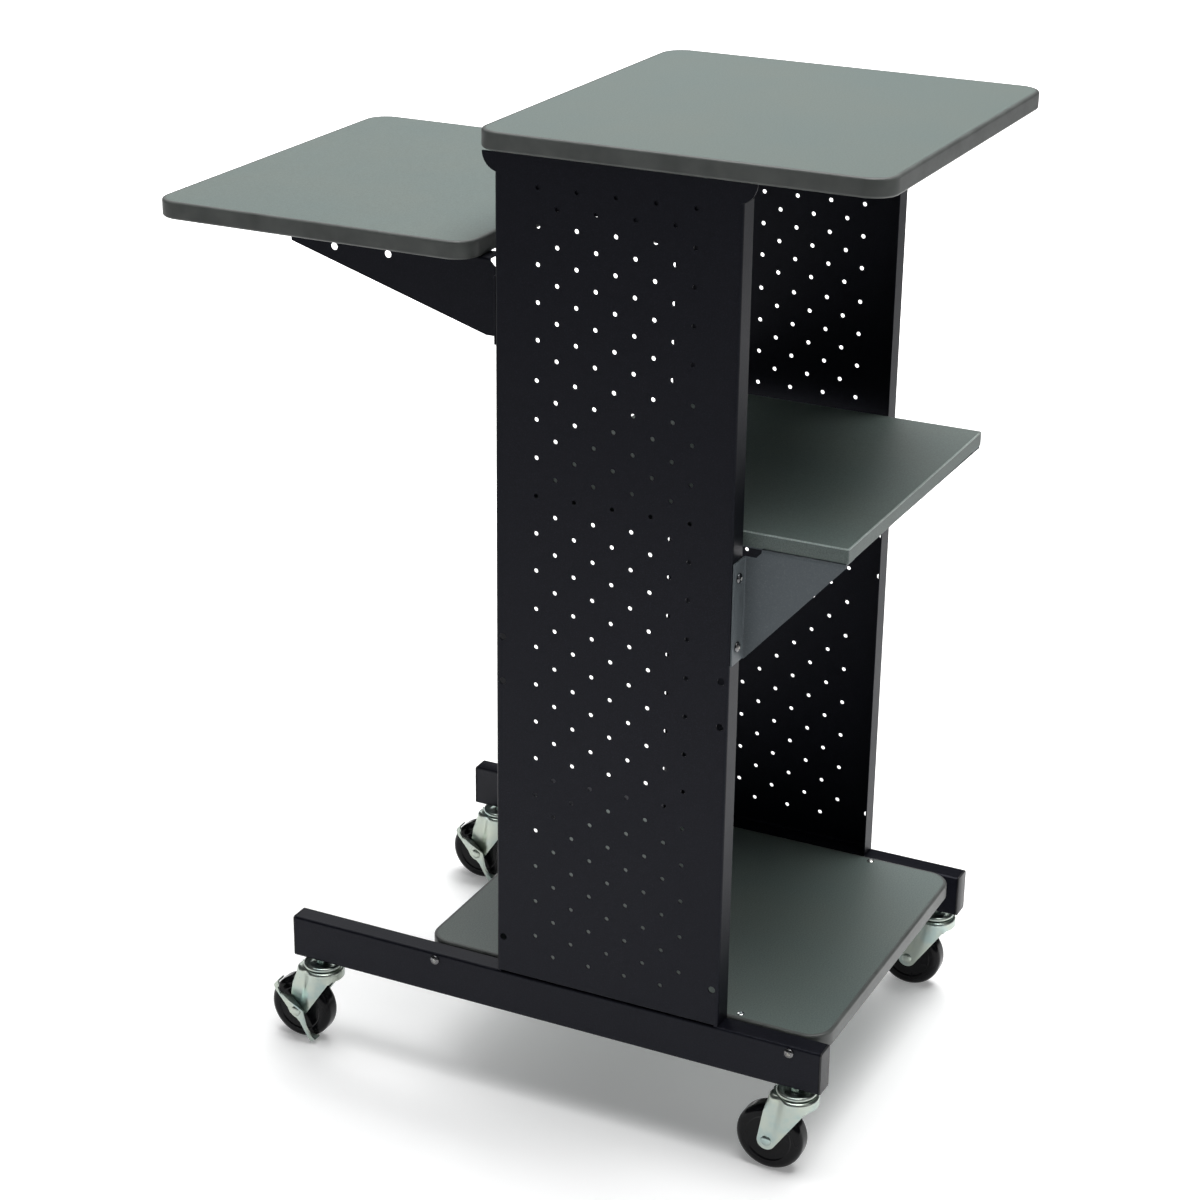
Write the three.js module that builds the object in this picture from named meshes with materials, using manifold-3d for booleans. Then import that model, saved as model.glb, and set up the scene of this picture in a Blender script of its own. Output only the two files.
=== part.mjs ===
// Lectern podium on casters: two perforated side panels stand on two base rails and carry a top shelf,
// a middle shelf, a bottom shelf and a side shelf. Millimetres, +Z up, floor at z = 0.
// X runs from the left panel to the right one, -Y is the reader's side, +Y is the side shelf's side.
// The origin is the centre of the bounding box, on the floor.
import * as THREE from 'three';
import { mergeVertices } from 'three/addons/utils/BufferGeometryUtils.js';
import Module from 'manifold-3d';

const wasm = await Module();
wasm.setup();

// ---- driving dimensions -------------------------------------------------------------------------
const GAP = 0.3;                     // clearance between pieces that touch
const HALF_WIDTH = 227.5;            // centre plane to the outer face of a panel and of its rail

const CASTER_HEIGHT = 106.5;         // floor to the underside of a rail
const RAIL_LENGTH = 636;
const RAIL_WIDTH = 25;
const RAIL_HEIGHT = 50;
const RAIL_WALL = 1.6;
const RAIL_FRONT = -375;             // y of a rail's front end
const END_CAP_FLANGE = 2;

const PANEL_FRONT = -259.5;
const PANEL_REAR = 2.5;
const PANEL_SHEET = 1.5;
const LIP_DEPTH = 25;                // how far the folded lips reach inwards
const EAR_REACH = 13.5;              // how far the quarter-round ears pass the panel's edges
const EAR_DROP = 20;

const HOLE_RADIUS = 3.2;
const HOLE_SIDES = 4;
const HOLE_FIRST_ROW = 189.5;
// Zones of rows from the bottom up, which are punched closer together above the middle: how many rows,
// the step between them, half the spacing of the holes in a row, and the pattern's shift along Y.
const HOLE_ZONES = {
  left: [[22, 21.15, 21.15, 0], [10, 20.2, 21.15, 0], [1, 22.5, 20.9, 0], [9, 19.1, 20.9, 0]],
  right: [[22, 21.15, 21.15, 0], [4, 19.6, 19.7, -3.5], [6, 18.4, 19.7, -3.5], [1, 20.2, 19.7, -3.5],
    [9, 17.95, 19.7, -3.5]],
};
const FIXING_HOLE_RADIUS = 4;
const FIXING_HOLE_SIDES = 6;
const FIXING_HOLE_INSET = 8;
const FIXING_HOLE_HEIGHTS = [200, 503, 553];

const BOARD = 19;                    // thickness of the banded shelves
const BAND = 4;                      // width of the edge band
const BAND_ROUND = 3.4;
const SHELF_CORNER = 27;

const TOP_HEIGHT = 1079;
const TOP_WIDTH = 460;
const TOP_FRONT = -403;
const TOP_REAR = 26;

const SIDE_HEIGHT = 965;
const SIDE_WIDTH = 460;
const SIDE_FRONT = 31;
const SIDE_REAR = 403;

const MIDDLE_HEIGHT = 706;
const MIDDLE_BOARD = 16;
const MIDDLE_WIDTH = 397;
const MIDDLE_FRONT = -369;
const MIDDLE_REAR = -10;

const BOTTOM_HEIGHT = 158;
const BOTTOM_FRONT = -370;
const BOTTOM_REAR = 106;

const BRACKET_SHEET = 1.8;
const BRACKET_FACE = 200.5;          // outer face of a bracket's upright plate
const BRACKET_FLANGE_EDGE = 225.5;
const BRACKET_FLANGE = 24;
const RELIEF_LENGTH = 19;            // corner relief between a bracket's two folds
const RELIEF_HEIGHT = 10;
const RELIEF_SLOPE = 6;              // the relief's slanted end
const SHELF_FLANGE_END = 4;          // a flange stops this far short of its shelf's rear edge
const MIDDLE_BRACKET_LOW = 570.5;
const MIDDLE_BRACKET_INSET = 2;
const MIDDLE_BRACKET_NOSE = 2;
const MIDDLE_SCREW_HEIGHTS = [588.5, 662];
const SIDE_BRACKET_LOW = 865;
const SIDE_BRACKET_REAR = 253;
const SIDE_BRACKET_NOSE = 12;
const SIDE_BRACKET_FOOT = 24;
const SIDE_SCREW_HEIGHTS = [880, 921];
const SIDE_BRACKET_HOLES = [139, 202];
const SIDE_BRACKET_HOLE_DROP = 12;
const SIDE_BRACKET_HOLE_RADIUS = 4;
const LIP_SCREW_X = 215;

const TOP_BRACKET_DROP = 51;
const TOP_BRACKET_INSET = 4;
const TOP_BRACKET_REAR = -2;
const TOP_BRACKET_CHAMFER = [42, 24];

const LEDGER_DROP = 26;
const LEDGER_FRONT = -330;
const LEDGER_REAR = 66;

const SCREW_HEAD_RADIUS = 5.5;
const SCREW_HEAD_HEIGHT = 3;
const SCREW_SHANK_RADIUS = 2.2;
const SCREW_HOLE_RADIUS = 2.9;
const SCREW_HOLE_SIDES = 6;
const CUT_MARGIN = 4;                // how far a cutting tool runs past the faces it cuts
const LIP_SCREW_LENGTH = 9;
const RAIL_SCREW_LENGTH = 45;
const RAIL_SCREW_BITE = 26;            // how deep its hole goes into the bottom shelf
const RAIL_SCREW_HEIGHT = 148.5;
const RAIL_SCREW_PLACES = [-341, 80];

const WHEEL_RADIUS = 38;
const WHEEL_WIDTH = 26;
const AXLE_RADIUS = 4;
const AXLE_BORE = 4.6;
const WHEEL_BEVEL_RADIUS = 36.5;      // where the rounded tread starts
const WHEEL_BEVEL = 5;
const WHEEL_RIM = [28, 31];          // inner and outer radius of the step inside the tread
const HUB_RADIUS = 11;
const WEB_DEPTH = 4;
const TRAIL = 26;                    // horizontal distance from the swivel axis to the axle
const CASTER_X = HALF_WIDTH - RAIL_WIDTH / 2;
const CASTER_PLACES = { front: -347, rear: 233 };
const STEM_RADIUS = 4.8;
const STEM_HOLE = 5.3;
const STEM_TOP = 132;
const SHOULDER_RADIUS = 8;           // across the corners of the hexagon under the rail
const SHOULDER_SIDES = 6;
const SHOULDER_HEIGHT = 6.5;
const RACE_RADIUS = 21.5;
const RACE_HEIGHT = 5.6;
const RACE_FLOOR = 1.8;              // thickness of the dish inside the rim
const RACE_LIFT = 0.5;
const FORK_SHEET = 2.3;
const FORK_INSIDE = 15;
const FORK_TOP = 95.5;
const FORK_CROWN_RADIUS = 25;
const FORK_CROWN_DROP = 7;           // height of the skirt around the crown
const FORK_CROWN_REAR = TRAIL + 8;
const FORK_CROWN_TAPER = 3;          // how much narrower the crown's rear is than the legs
const FORK_LEG_REAR = TRAIL + 3;
const FORK_LEG_SHOULDER = 10;
const FORK_FOOT_RADIUS = 11;
const LEVER_SHEET = 1.8;
const LEVER_INSIDE = 18.3;
const LEVER_UPPER_TIP = { radius: 42, angles: [46, 62] };
const LEVER_LOWER_TIP = { radius: 41, angles: [-141, -126] };
const LEVER_FRONT = [[20, 80], [9, 130], [9, 190]];    // [radius, degrees] about the axle
const LEVER_REAR = [[13, -80], [13, -10], [31, 36]];
const LEVER_TAB_REACH = 14;
const LEVER_TAB_SHEET = 1.6;
const LEVER_BORE = 4.6;
const RIVET_RADIUS = 6.5;
const RIVET_HEIGHT = 2;

// ---- solids -------------------------------------------------------------------------------------

// Turns a closed geometry into a manifold solid with its faces pointing out.
function solid(geometry) {
  const bare = geometry.clone();
  bare.deleteAttribute('normal');
  bare.deleteAttribute('uv');
  const merged = mergeVertices(bare, 1e-4);
  const p = merged.attributes.position.array;
  const index = merged.index.array;
  const triangles = [];
  let volume = 0;
  for (let i = 0; i < index.length; i += 3) {
    const [a, b, c] = [index[i], index[i + 1], index[i + 2]];
    if (a === b || b === c || c === a) continue;
    triangles.push(a, b, c);
    const va = new THREE.Vector3().fromArray(p, 3 * a);
    const vb = new THREE.Vector3().fromArray(p, 3 * b);
    const vc = new THREE.Vector3().fromArray(p, 3 * c);
    volume += va.dot(vb.cross(vc));
  }
  if (volume < 0) triangles.reverse();
  return new wasm.Manifold(new wasm.Mesh({
    numProp: 3,
    vertProperties: Float32Array.from(p),
    triVerts: Uint32Array.from(triangles),
  }));
}

function geometryOf(manifold) {
  const mesh = manifold.getMesh();
  const geometry = new THREE.BufferGeometry();
  geometry.setAttribute('position', new THREE.Float32BufferAttribute(mesh.vertProperties, 3));
  geometry.setIndex(Array.from(mesh.triVerts));
  const flat = geometry.toNonIndexed();
  flat.computeVertexNormals();
  return flat;
}

function join(...pieces) {
  return pieces.reduce((whole, piece) => whole.add(piece));
}

function cut(piece, ...tools) {
  return tools.reduce((rest, tool) => rest.subtract(tool), piece);
}

function block(x0, x1, y0, y1, z0, z1) {
  const geometry = new THREE.BoxGeometry(Math.abs(x1 - x0), Math.abs(y1 - y0), Math.abs(z1 - z0));
  geometry.translate((x0 + x1) / 2, (y0 + y1) / 2, (z0 + z1) / 2);
  return solid(geometry);
}

// A rod along the given axis ('x', 'y' or 'z') from one coordinate to another.
function rod(axis, from, to, centre, radius, sides = 10) {
  const geometry = new THREE.CylinderGeometry(radius, radius, Math.abs(to - from), sides);
  if (axis === 'x') geometry.rotateZ(Math.PI / 2);
  if (axis === 'z') geometry.rotateX(Math.PI / 2);
  const middle = (from + to) / 2;
  const [u, v] = centre;
  if (axis === 'x') geometry.translate(middle, u, v);
  if (axis === 'y') geometry.translate(u, middle, v);
  if (axis === 'z') geometry.translate(u, v, middle);
  return solid(geometry);
}

// A body turned about Z from a closed profile of [radius, height] points.
function turned(profile, sides) {
  const points = profile.map(([radius, height]) => new THREE.Vector2(radius, height));
  const geometry = new THREE.LatheGeometry(points, sides);
  geometry.rotateX(Math.PI / 2);
  return solid(geometry);
}

function outline(points) {
  return new THREE.Shape(points.map(([u, v]) => new THREE.Vector2(u, v)));
}

// A flat plate whose outline lies in the YZ plane, between two x coordinates.
function upright(shape, x0, x1, curveSegments = 6) {
  const depth = Math.abs(x1 - x0);
  const geometry = new THREE.ExtrudeGeometry(shape, { depth, bevelEnabled: false, curveSegments });
  const axes = new THREE.Matrix4().makeBasis(
    new THREE.Vector3(0, 1, 0), new THREE.Vector3(0, 0, 1), new THREE.Vector3(1, 0, 0));
  geometry.applyMatrix4(axes);
  geometry.translate(Math.min(x0, x1), 0, 0);
  return solid(geometry);
}

// A flat plate whose outline lies in the XY plane, between two heights.
function level(shape, z0, z1, curveSegments = 6) {
  const geometry = new THREE.ExtrudeGeometry(shape, { depth: z1 - z0, bevelEnabled: false, curveSegments });
  geometry.translate(0, 0, z0);
  return solid(geometry);
}

function roundedRectangle(x0, x1, y0, y1, radius) {
  const quarter = Math.PI / 2;
  const shape = new THREE.Shape();
  shape.moveTo(x0 + radius, y0);
  shape.absarc(x1 - radius, y0 + radius, radius, -quarter, 0);
  shape.absarc(x1 - radius, y1 - radius, radius, 0, quarter);
  shape.absarc(x0 + radius, y1 - radius, radius, quarter, 2 * quarter);
  shape.absarc(x0 + radius, y0 + radius, radius, 2 * quarter, 3 * quarter);
  shape.closePath();
  return shape;
}

// A cutting tool for one screw, through a sheet that lies at the given place along the axis.
function screwHole(axis, place, centre, reach = CUT_MARGIN) {
  return rod(axis, place - reach, place + reach, centre, SCREW_HOLE_RADIUS, SCREW_HOLE_SIDES);
}

// Copies a solid to the other side of the centre plane, x = 0.
function mirrored(manifold) {
  const geometry = geometryOf(manifold);
  geometry.scale(-1, 1, 1);
  return solid(geometry);
}

// ---- materials ----------------------------------------------------------------------------------

function finish(color, roughness, metalness) {
  return new THREE.MeshStandardMaterial({ color, roughness, metalness });
}

const finishes = {
  panel: finish(0x1d1d20, 0.5, 0.3),
  gusset: finish(0x6d7578, 0.5, 0.2),
  laminate: finish(0x5c6663, 0.55, 0),
  band: finish(0x55524e, 0.5, 0),
  zinc: finish(0xb9c2c4, 0.3, 0.9),
  wheel: finish(0x0d0d0e, 0.25, 0),
  cap: finish(0x161618, 0.6, 0),
};

const podium = new THREE.Group();

function place(name, manifold, material, group = podium) {
  const mesh = new THREE.Mesh(geometryOf(manifold), finishes[material]);
  mesh.name = name;
  group.add(mesh);
  return mesh;
}

const SIDES = { left: -1, right: 1 };

// Adds a piece drawn for the left side (x < 0) to one side or the other.
function placeOnSide(name, side, leftPiece, material) {
  place(`${name}_${side}`, side === 'left' ? leftPiece : mirrored(leftPiece), material);
}

// ---- side panels --------------------------------------------------------------------------------

const RAIL_TOP = CASTER_HEIGHT + RAIL_HEIGHT;
const PANEL_LOW = RAIL_TOP + GAP;
const PANEL_HIGH = TOP_HEIGHT - BOARD - GAP;

// The centres of a panel's perforations: rows of four and five holes by turns.
function holePlaces(side) {
  const middle = (PANEL_FRONT + PANEL_REAR) / 2;
  const places = [];
  let row = 0;
  let z = HOLE_FIRST_ROW - HOLE_ZONES[side][0][1];
  for (const [rows, rowStep, columnStep, shift] of HOLE_ZONES[side]) {
    for (let i = 0; i < rows; i += 1) {
      z += rowStep;
      const reach = row % 2 === 0 ? 3 : 4;
      for (let column = -reach; column <= reach; column += 2) {
        places.push([middle + shift + column * columnStep, z]);
      }
      row += 1;
    }
  }
  return places;
}

function roundHole(y, z, radius, sides) {
  const hole = new THREE.Path();
  for (let corner = 0; corner < sides; corner += 1) {
    const angle = (2 * Math.PI * corner) / sides;
    const point = [y + radius * Math.cos(angle), z + radius * Math.sin(angle)];
    if (corner === 0) hole.moveTo(...point);
    else hole.lineTo(...point);
  }
  hole.closePath();
  return hole;
}

// The web's outline, with an ear at each top corner whose lower edge is an arc.
function webShape(side) {
  const arcSteps = 4;
  const earRadius = EAR_DROP;
  const startAngle = Math.acos((earRadius - EAR_REACH) / earRadius);
  const shape = new THREE.Shape();
  shape.moveTo(PANEL_FRONT, PANEL_LOW);
  shape.lineTo(PANEL_REAR, PANEL_LOW);
  for (let step = 0; step <= arcSteps; step += 1) {
    const angle = -startAngle * (1 - step / arcSteps);
    const y = PANEL_REAR + EAR_REACH - earRadius + earRadius * Math.cos(angle);
    shape.lineTo(y, PANEL_HIGH + earRadius * Math.sin(angle));
  }
  for (let step = 0; step <= arcSteps; step += 1) {
    const angle = -startAngle * (step / arcSteps);
    const y = PANEL_FRONT - EAR_REACH + earRadius - earRadius * Math.cos(angle);
    shape.lineTo(y, PANEL_HIGH + earRadius * Math.sin(angle));
  }
  shape.closePath();
  for (const [y, z] of holePlaces(side)) {
    shape.holes.push(roundHole(y, z, HOLE_RADIUS, HOLE_SIDES));
  }
  for (const z of FIXING_HOLE_HEIGHTS) {
    for (const y of [PANEL_FRONT + FIXING_HOLE_INSET, PANEL_REAR - FIXING_HOLE_INSET]) {
      shape.holes.push(roundHole(y, z, FIXING_HOLE_RADIUS, FIXING_HOLE_SIDES));
    }
  }
  return shape;
}

// Each side panel is one folded sheet. Its flat faces are separate pieces here: the perforated web,
// a lip folded inwards along the front and the rear, and the foot that stands on the rail.
const WEB_OUTER = -HALF_WIDTH;
const WEB_INNER = WEB_OUTER + PANEL_SHEET;
const LIP_ROOT = WEB_INNER + GAP;
const LIP_EDGE = WEB_OUTER + LIP_DEPTH;

function panelWeb(side) {
  return upright(webShape(side), WEB_OUTER, WEB_INNER);
}

// A lip between two y coordinates, with a hole for each screw of the bracket fastened to it.
function panelLip(front, rear, screwHeights) {
  let lip = block(LIP_ROOT, LIP_EDGE, front, rear, PANEL_LOW, PANEL_HIGH - EAR_DROP);
  for (const z of screwHeights) {
    lip = cut(lip, screwHole('y', (front + rear) / 2, [-LIP_SCREW_X, z]));
  }
  return lip;
}

function panelFoot() {
  return block(LIP_ROOT, LIP_EDGE, PANEL_FRONT + PANEL_SHEET + GAP, PANEL_REAR - PANEL_SHEET - GAP,
    PANEL_LOW, PANEL_LOW + PANEL_SHEET);
}

// ---- base rails ---------------------------------------------------------------------------------

const RAIL_REAR = RAIL_FRONT + RAIL_LENGTH;

function baseRail() {
  const outer = -HALF_WIDTH;
  const inner = outer + RAIL_WIDTH;
  let rail = cut(
    block(outer, inner, RAIL_FRONT, RAIL_REAR, CASTER_HEIGHT, RAIL_TOP),
    block(outer + RAIL_WALL, inner - RAIL_WALL, RAIL_FRONT - CUT_MARGIN, RAIL_REAR + CUT_MARGIN,
      CASTER_HEIGHT + RAIL_WALL, RAIL_TOP - RAIL_WALL));
  for (const y of Object.values(CASTER_PLACES)) {
    rail = cut(rail, rod('z', CASTER_HEIGHT - CUT_MARGIN, CASTER_HEIGHT + CUT_MARGIN,
      [-CASTER_X, y], STEM_HOLE));
  }
  for (const y of RAIL_SCREW_PLACES) {
    rail = cut(rail, screwHole('x', -CASTER_X, [y, RAIL_SCREW_HEIGHT], RAIL_WIDTH));
  }
  return rail;
}

// A plastic plug: a flat cover over the rail's end and a spigot inside the tube.
function railEndCap(end) {
  const outer = -HALF_WIDTH;
  const direction = end === 'front' ? -1 : 1;
  const face = end === 'front' ? RAIL_FRONT : RAIL_REAR;
  const near = face + direction * GAP;
  const far = near + direction * END_CAP_FLANGE;
  const spigotDepth = 12;
  const inset = RAIL_WALL + GAP;
  return join(
    block(outer, outer + RAIL_WIDTH, near, far, CASTER_HEIGHT, RAIL_TOP),
    block(outer + inset, outer + RAIL_WIDTH - inset, near + direction, near - direction * spigotDepth,
      CASTER_HEIGHT + inset, RAIL_TOP - inset));
}

// ---- shelves ------------------------------------------------------------------------------------

// A laminated board and the rounded band around its edge.
function bandedShelf(name, halfWidth, front, rear, top, boltHoles = []) {
  const low = top - BOARD;
  const coreShape = (inset) => roundedRectangle(
    -halfWidth + inset, halfWidth - inset, front + inset, rear - inset, SHELF_CORNER - inset);
  const rounded = new THREE.ExtrudeGeometry(coreShape(0), {
    depth: BOARD - 2 * BAND_ROUND,
    bevelThickness: BAND_ROUND,
    bevelSize: BAND_ROUND,
    bevelOffset: -BAND_ROUND,
    bevelSegments: 2,
    curveSegments: 4,
  });
  rounded.translate(0, 0, low + BAND_ROUND);
  let core = level(coreShape(BAND + GAP), low, top, 4);
  let band = cut(solid(rounded), level(coreShape(BAND), low - CUT_MARGIN, top + CUT_MARGIN, 4));
  for (const hole of boltHoles) {
    core = cut(core, hole);
    band = cut(band, hole);
  }
  place(name, core, 'laminate');
  place(`${name}_edge_band`, band, 'band');
}

function addShelves() {
  const railScrewHoles = [];
  const bottomHalf = HALF_WIDTH - RAIL_WIDTH - GAP;
  for (const y of RAIL_SCREW_PLACES) {
    for (const sign of Object.values(SIDES)) {
      railScrewHoles.push(screwHole('x', sign * bottomHalf, [y, RAIL_SCREW_HEIGHT], RAIL_SCREW_BITE));
    }
  }
  bandedShelf('top_shelf', TOP_WIDTH / 2, TOP_FRONT, TOP_REAR, TOP_HEIGHT);
  bandedShelf('side_shelf', SIDE_WIDTH / 2, SIDE_FRONT, SIDE_REAR, SIDE_HEIGHT);
  bandedShelf('bottom_shelf', bottomHalf, BOTTOM_FRONT, BOTTOM_REAR, BOTTOM_HEIGHT, railScrewHoles);
  place('middle_shelf', block(-MIDDLE_WIDTH / 2, MIDDLE_WIDTH / 2, MIDDLE_FRONT, MIDDLE_REAR,
    MIDDLE_HEIGHT - MIDDLE_BOARD, MIDDLE_HEIGHT), 'laminate');
}

// ---- brackets -----------------------------------------------------------------------------------

const PLATE_OUTER = -BRACKET_FACE;
const PLATE_INNER = PLATE_OUTER + BRACKET_SHEET;

// A folded gusset in front of the panel: plate, flange screwed to the lip, flange under the shelf.
function middleBracket() {
  const seat = MIDDLE_HEIGHT - MIDDLE_BOARD - GAP;
  const root = PANEL_FRONT - GAP;
  const nose = MIDDLE_FRONT + MIDDLE_BRACKET_INSET;
  const end = MIDDLE_REAR - SHELF_FLANGE_END;
  const reliefEnd = root - RELIEF_LENGTH;
  const plate = upright(outline([
    [root, MIDDLE_BRACKET_LOW], [root, seat - RELIEF_HEIGHT],
    [reliefEnd + RELIEF_SLOPE, seat - RELIEF_HEIGHT],
    [reliefEnd, seat], [nose, seat], [nose, seat - MIDDLE_BRACKET_NOSE],
    [root - BRACKET_SHEET, MIDDLE_BRACKET_LOW],
  ]), PLATE_OUTER, PLATE_INNER);
  let lipFlange = block(-BRACKET_FLANGE_EDGE, PLATE_INNER, root - BRACKET_SHEET, root,
    MIDDLE_BRACKET_LOW, seat - RELIEF_HEIGHT);
  for (const z of MIDDLE_SCREW_HEIGHTS) {
    lipFlange = cut(lipFlange, screwHole('y', root, [-LIP_SCREW_X, z]));
  }
  const flangeEdge = PLATE_OUTER + BRACKET_FLANGE;
  const clear = PLATE_OUTER + SHELF_FLANGE_END;
  const shelfFlange = join(
    block(PLATE_OUTER, flangeEdge, nose, reliefEnd, seat - BRACKET_SHEET, seat),
    block(clear, flangeEdge, nose, end, seat - BRACKET_SHEET, seat));
  return join(plate, lipFlange, shelfFlange);
}

// The longer gusset behind the panel that carries the side shelf.
function sideBracket() {
  const seat = SIDE_HEIGHT - BOARD - GAP;
  const root = PANEL_REAR + GAP;
  const reliefEnd = root + RELIEF_LENGTH;
  const shape = outline([
    [root, SIDE_BRACKET_LOW], [root + SIDE_BRACKET_FOOT, SIDE_BRACKET_LOW],
    [SIDE_BRACKET_REAR, seat - SIDE_BRACKET_NOSE], [SIDE_BRACKET_REAR, seat],
    [reliefEnd, seat], [reliefEnd - RELIEF_SLOPE, seat - RELIEF_HEIGHT], [root, seat - RELIEF_HEIGHT],
  ]);
  for (const y of SIDE_BRACKET_HOLES) {
    shape.holes.push(roundHole(y, seat - SIDE_BRACKET_HOLE_DROP, SIDE_BRACKET_HOLE_RADIUS, 8));
  }
  const plate = upright(shape, PLATE_OUTER, PLATE_INNER);
  let lipFlange = block(-BRACKET_FLANGE_EDGE, PLATE_INNER, root, root + BRACKET_SHEET,
    SIDE_BRACKET_LOW, seat - RELIEF_HEIGHT);
  for (const z of SIDE_SCREW_HEIGHTS) {
    lipFlange = cut(lipFlange, screwHole('y', root, [-LIP_SCREW_X, z]));
  }
  const shelfFlange = block(PLATE_OUTER, PLATE_OUTER + BRACKET_FLANGE, reliefEnd, SIDE_BRACKET_REAR,
    seat - BRACKET_SHEET, seat);
  return join(plate, lipFlange, shelfFlange);
}

// An angle inside the panel, under the top shelf, with a chamfered rear corner.
function topBracket() {
  const seat = PANEL_HIGH;
  const face = -HALF_WIDTH + PANEL_SHEET + GAP;
  const front = PANEL_FRONT + PANEL_SHEET + TOP_BRACKET_INSET;
  const rear = TOP_BRACKET_REAR;
  const low = seat - TOP_BRACKET_DROP;
  const [chamferLength, chamferHeight] = TOP_BRACKET_CHAMFER;
  const plate = upright(outline([
    [front, low], [rear - chamferLength, low], [rear, low + chamferHeight], [rear, seat], [front, seat],
  ]), face, face + BRACKET_SHEET);
  return join(plate, block(face, face + BRACKET_FLANGE, front, rear, seat - BRACKET_SHEET, seat));
}

// An angle on the inner side of a rail that the bottom shelf lies on.
function ledger() {
  const seat = BOTTOM_HEIGHT - BOARD - GAP;
  const face = -HALF_WIDTH + RAIL_WIDTH + GAP;
  return join(
    block(face, face + BRACKET_SHEET, LEDGER_FRONT, LEDGER_REAR, seat - LEDGER_DROP, seat),
    block(face, face + BRACKET_FLANGE, LEDGER_FRONT, LEDGER_REAR, seat - BRACKET_SHEET, seat));
}

// ---- screws -------------------------------------------------------------------------------------

// A domed screw with its seat at z = 0, its head above and its shank below.
function screw(length) {
  return turned([
    [0, -length], [SCREW_SHANK_RADIUS, -length], [SCREW_SHANK_RADIUS, 0], [SCREW_HEAD_RADIUS, 0],
    [0.7 * SCREW_HEAD_RADIUS, 0.85 * SCREW_HEAD_HEIGHT], [0, SCREW_HEAD_HEIGHT],
  ], 8);
}

function placeScrew(name, length, seat, turn) {
  const mesh = place(name, screw(length), 'panel');
  mesh.position.set(...seat);
  mesh.rotation.set(...turn);
}

function addScrews() {
  const quarter = Math.PI / 2;
  const flangeFront = PANEL_FRONT - 2 * GAP - BRACKET_SHEET;
  const flangeRear = PANEL_REAR + 2 * GAP + BRACKET_SHEET;
  for (const [side, sign] of Object.entries(SIDES)) {
    MIDDLE_SCREW_HEIGHTS.forEach((z, i) => {
      placeScrew(`middle_bracket_screw_${side}_${i + 1}`, LIP_SCREW_LENGTH,
        [sign * LIP_SCREW_X, flangeFront, z], [quarter, 0, 0]);
    });
    SIDE_SCREW_HEIGHTS.forEach((z, i) => {
      placeScrew(`side_bracket_screw_${side}_${i + 1}`, LIP_SCREW_LENGTH,
        [sign * LIP_SCREW_X, flangeRear, z], [-quarter, 0, 0]);
    });
    RAIL_SCREW_PLACES.forEach((y, i) => {
      placeScrew(`rail_screw_${side}_${i + 1}`, RAIL_SCREW_LENGTH,
        [sign * (HALF_WIDTH + GAP), y, RAIL_SCREW_HEIGHT], [0, sign * quarter, 0]);
    });
  }
}

// ---- casters ------------------------------------------------------------------------------------
// Each caster is drawn about its own swivel axis, with the wheel trailing towards +Y.

// Upper race: a dished disc with a raised rolled rim.
function casterRace() {
  const low = FORK_TOP + RACE_LIFT;
  const high = low + RACE_HEIGHT;
  const floor = low + RACE_FLOOR;
  return turned([
    [0, low], [RACE_RADIUS - 2.5, low], [RACE_RADIUS, low + 2], [RACE_RADIUS - 1, high - 0.6],
    [RACE_RADIUS - 3.5, high], [RACE_RADIUS - 6.5, high - 2], [RACE_RADIUS - 9.5, floor], [0, floor],
  ], 16);
}

// Threaded stem with a hexagonal shoulder under the rail, riveted through its race.
function casterStem() {
  const shoulderHigh = CASTER_HEIGHT - GAP;
  return join(
    casterRace(),
    rod('z', FORK_TOP + RACE_LIFT, STEM_TOP, [0, 0], STEM_RADIUS),
    rod('z', shoulderHigh - SHOULDER_HEIGHT, shoulderHigh, [0, 0], SHOULDER_RADIUS, SHOULDER_SIDES));
}

// A leg's outline: straight down from the crown's rear, round the axle, and slanting up to its front.
function forkLegShape() {
  const front = -FORK_CROWN_RADIUS + 2;
  const footStart = THREE.MathUtils.degToRad(9);
  const footTurn = THREE.MathUtils.degToRad(148);
  const footSteps = 4;
  const shape = new THREE.Shape();
  shape.moveTo(FORK_LEG_REAR, FORK_TOP);
  shape.lineTo(FORK_LEG_REAR, FORK_TOP - FORK_LEG_SHOULDER);
  for (let step = 0; step <= footSteps; step += 1) {
    const angle = footStart - (step / footSteps) * footTurn;
    shape.lineTo(TRAIL + FORK_FOOT_RADIUS * Math.cos(angle),
      WHEEL_RADIUS + FORK_FOOT_RADIUS * Math.sin(angle));
  }
  shape.lineTo(front, FORK_TOP - FORK_CROWN_DROP);
  shape.lineTo(front, FORK_TOP);
  shape.closePath();
  shape.holes.push(roundHole(TRAIL, WHEEL_RADIUS, AXLE_BORE, 8));
  return shape;
}

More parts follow.
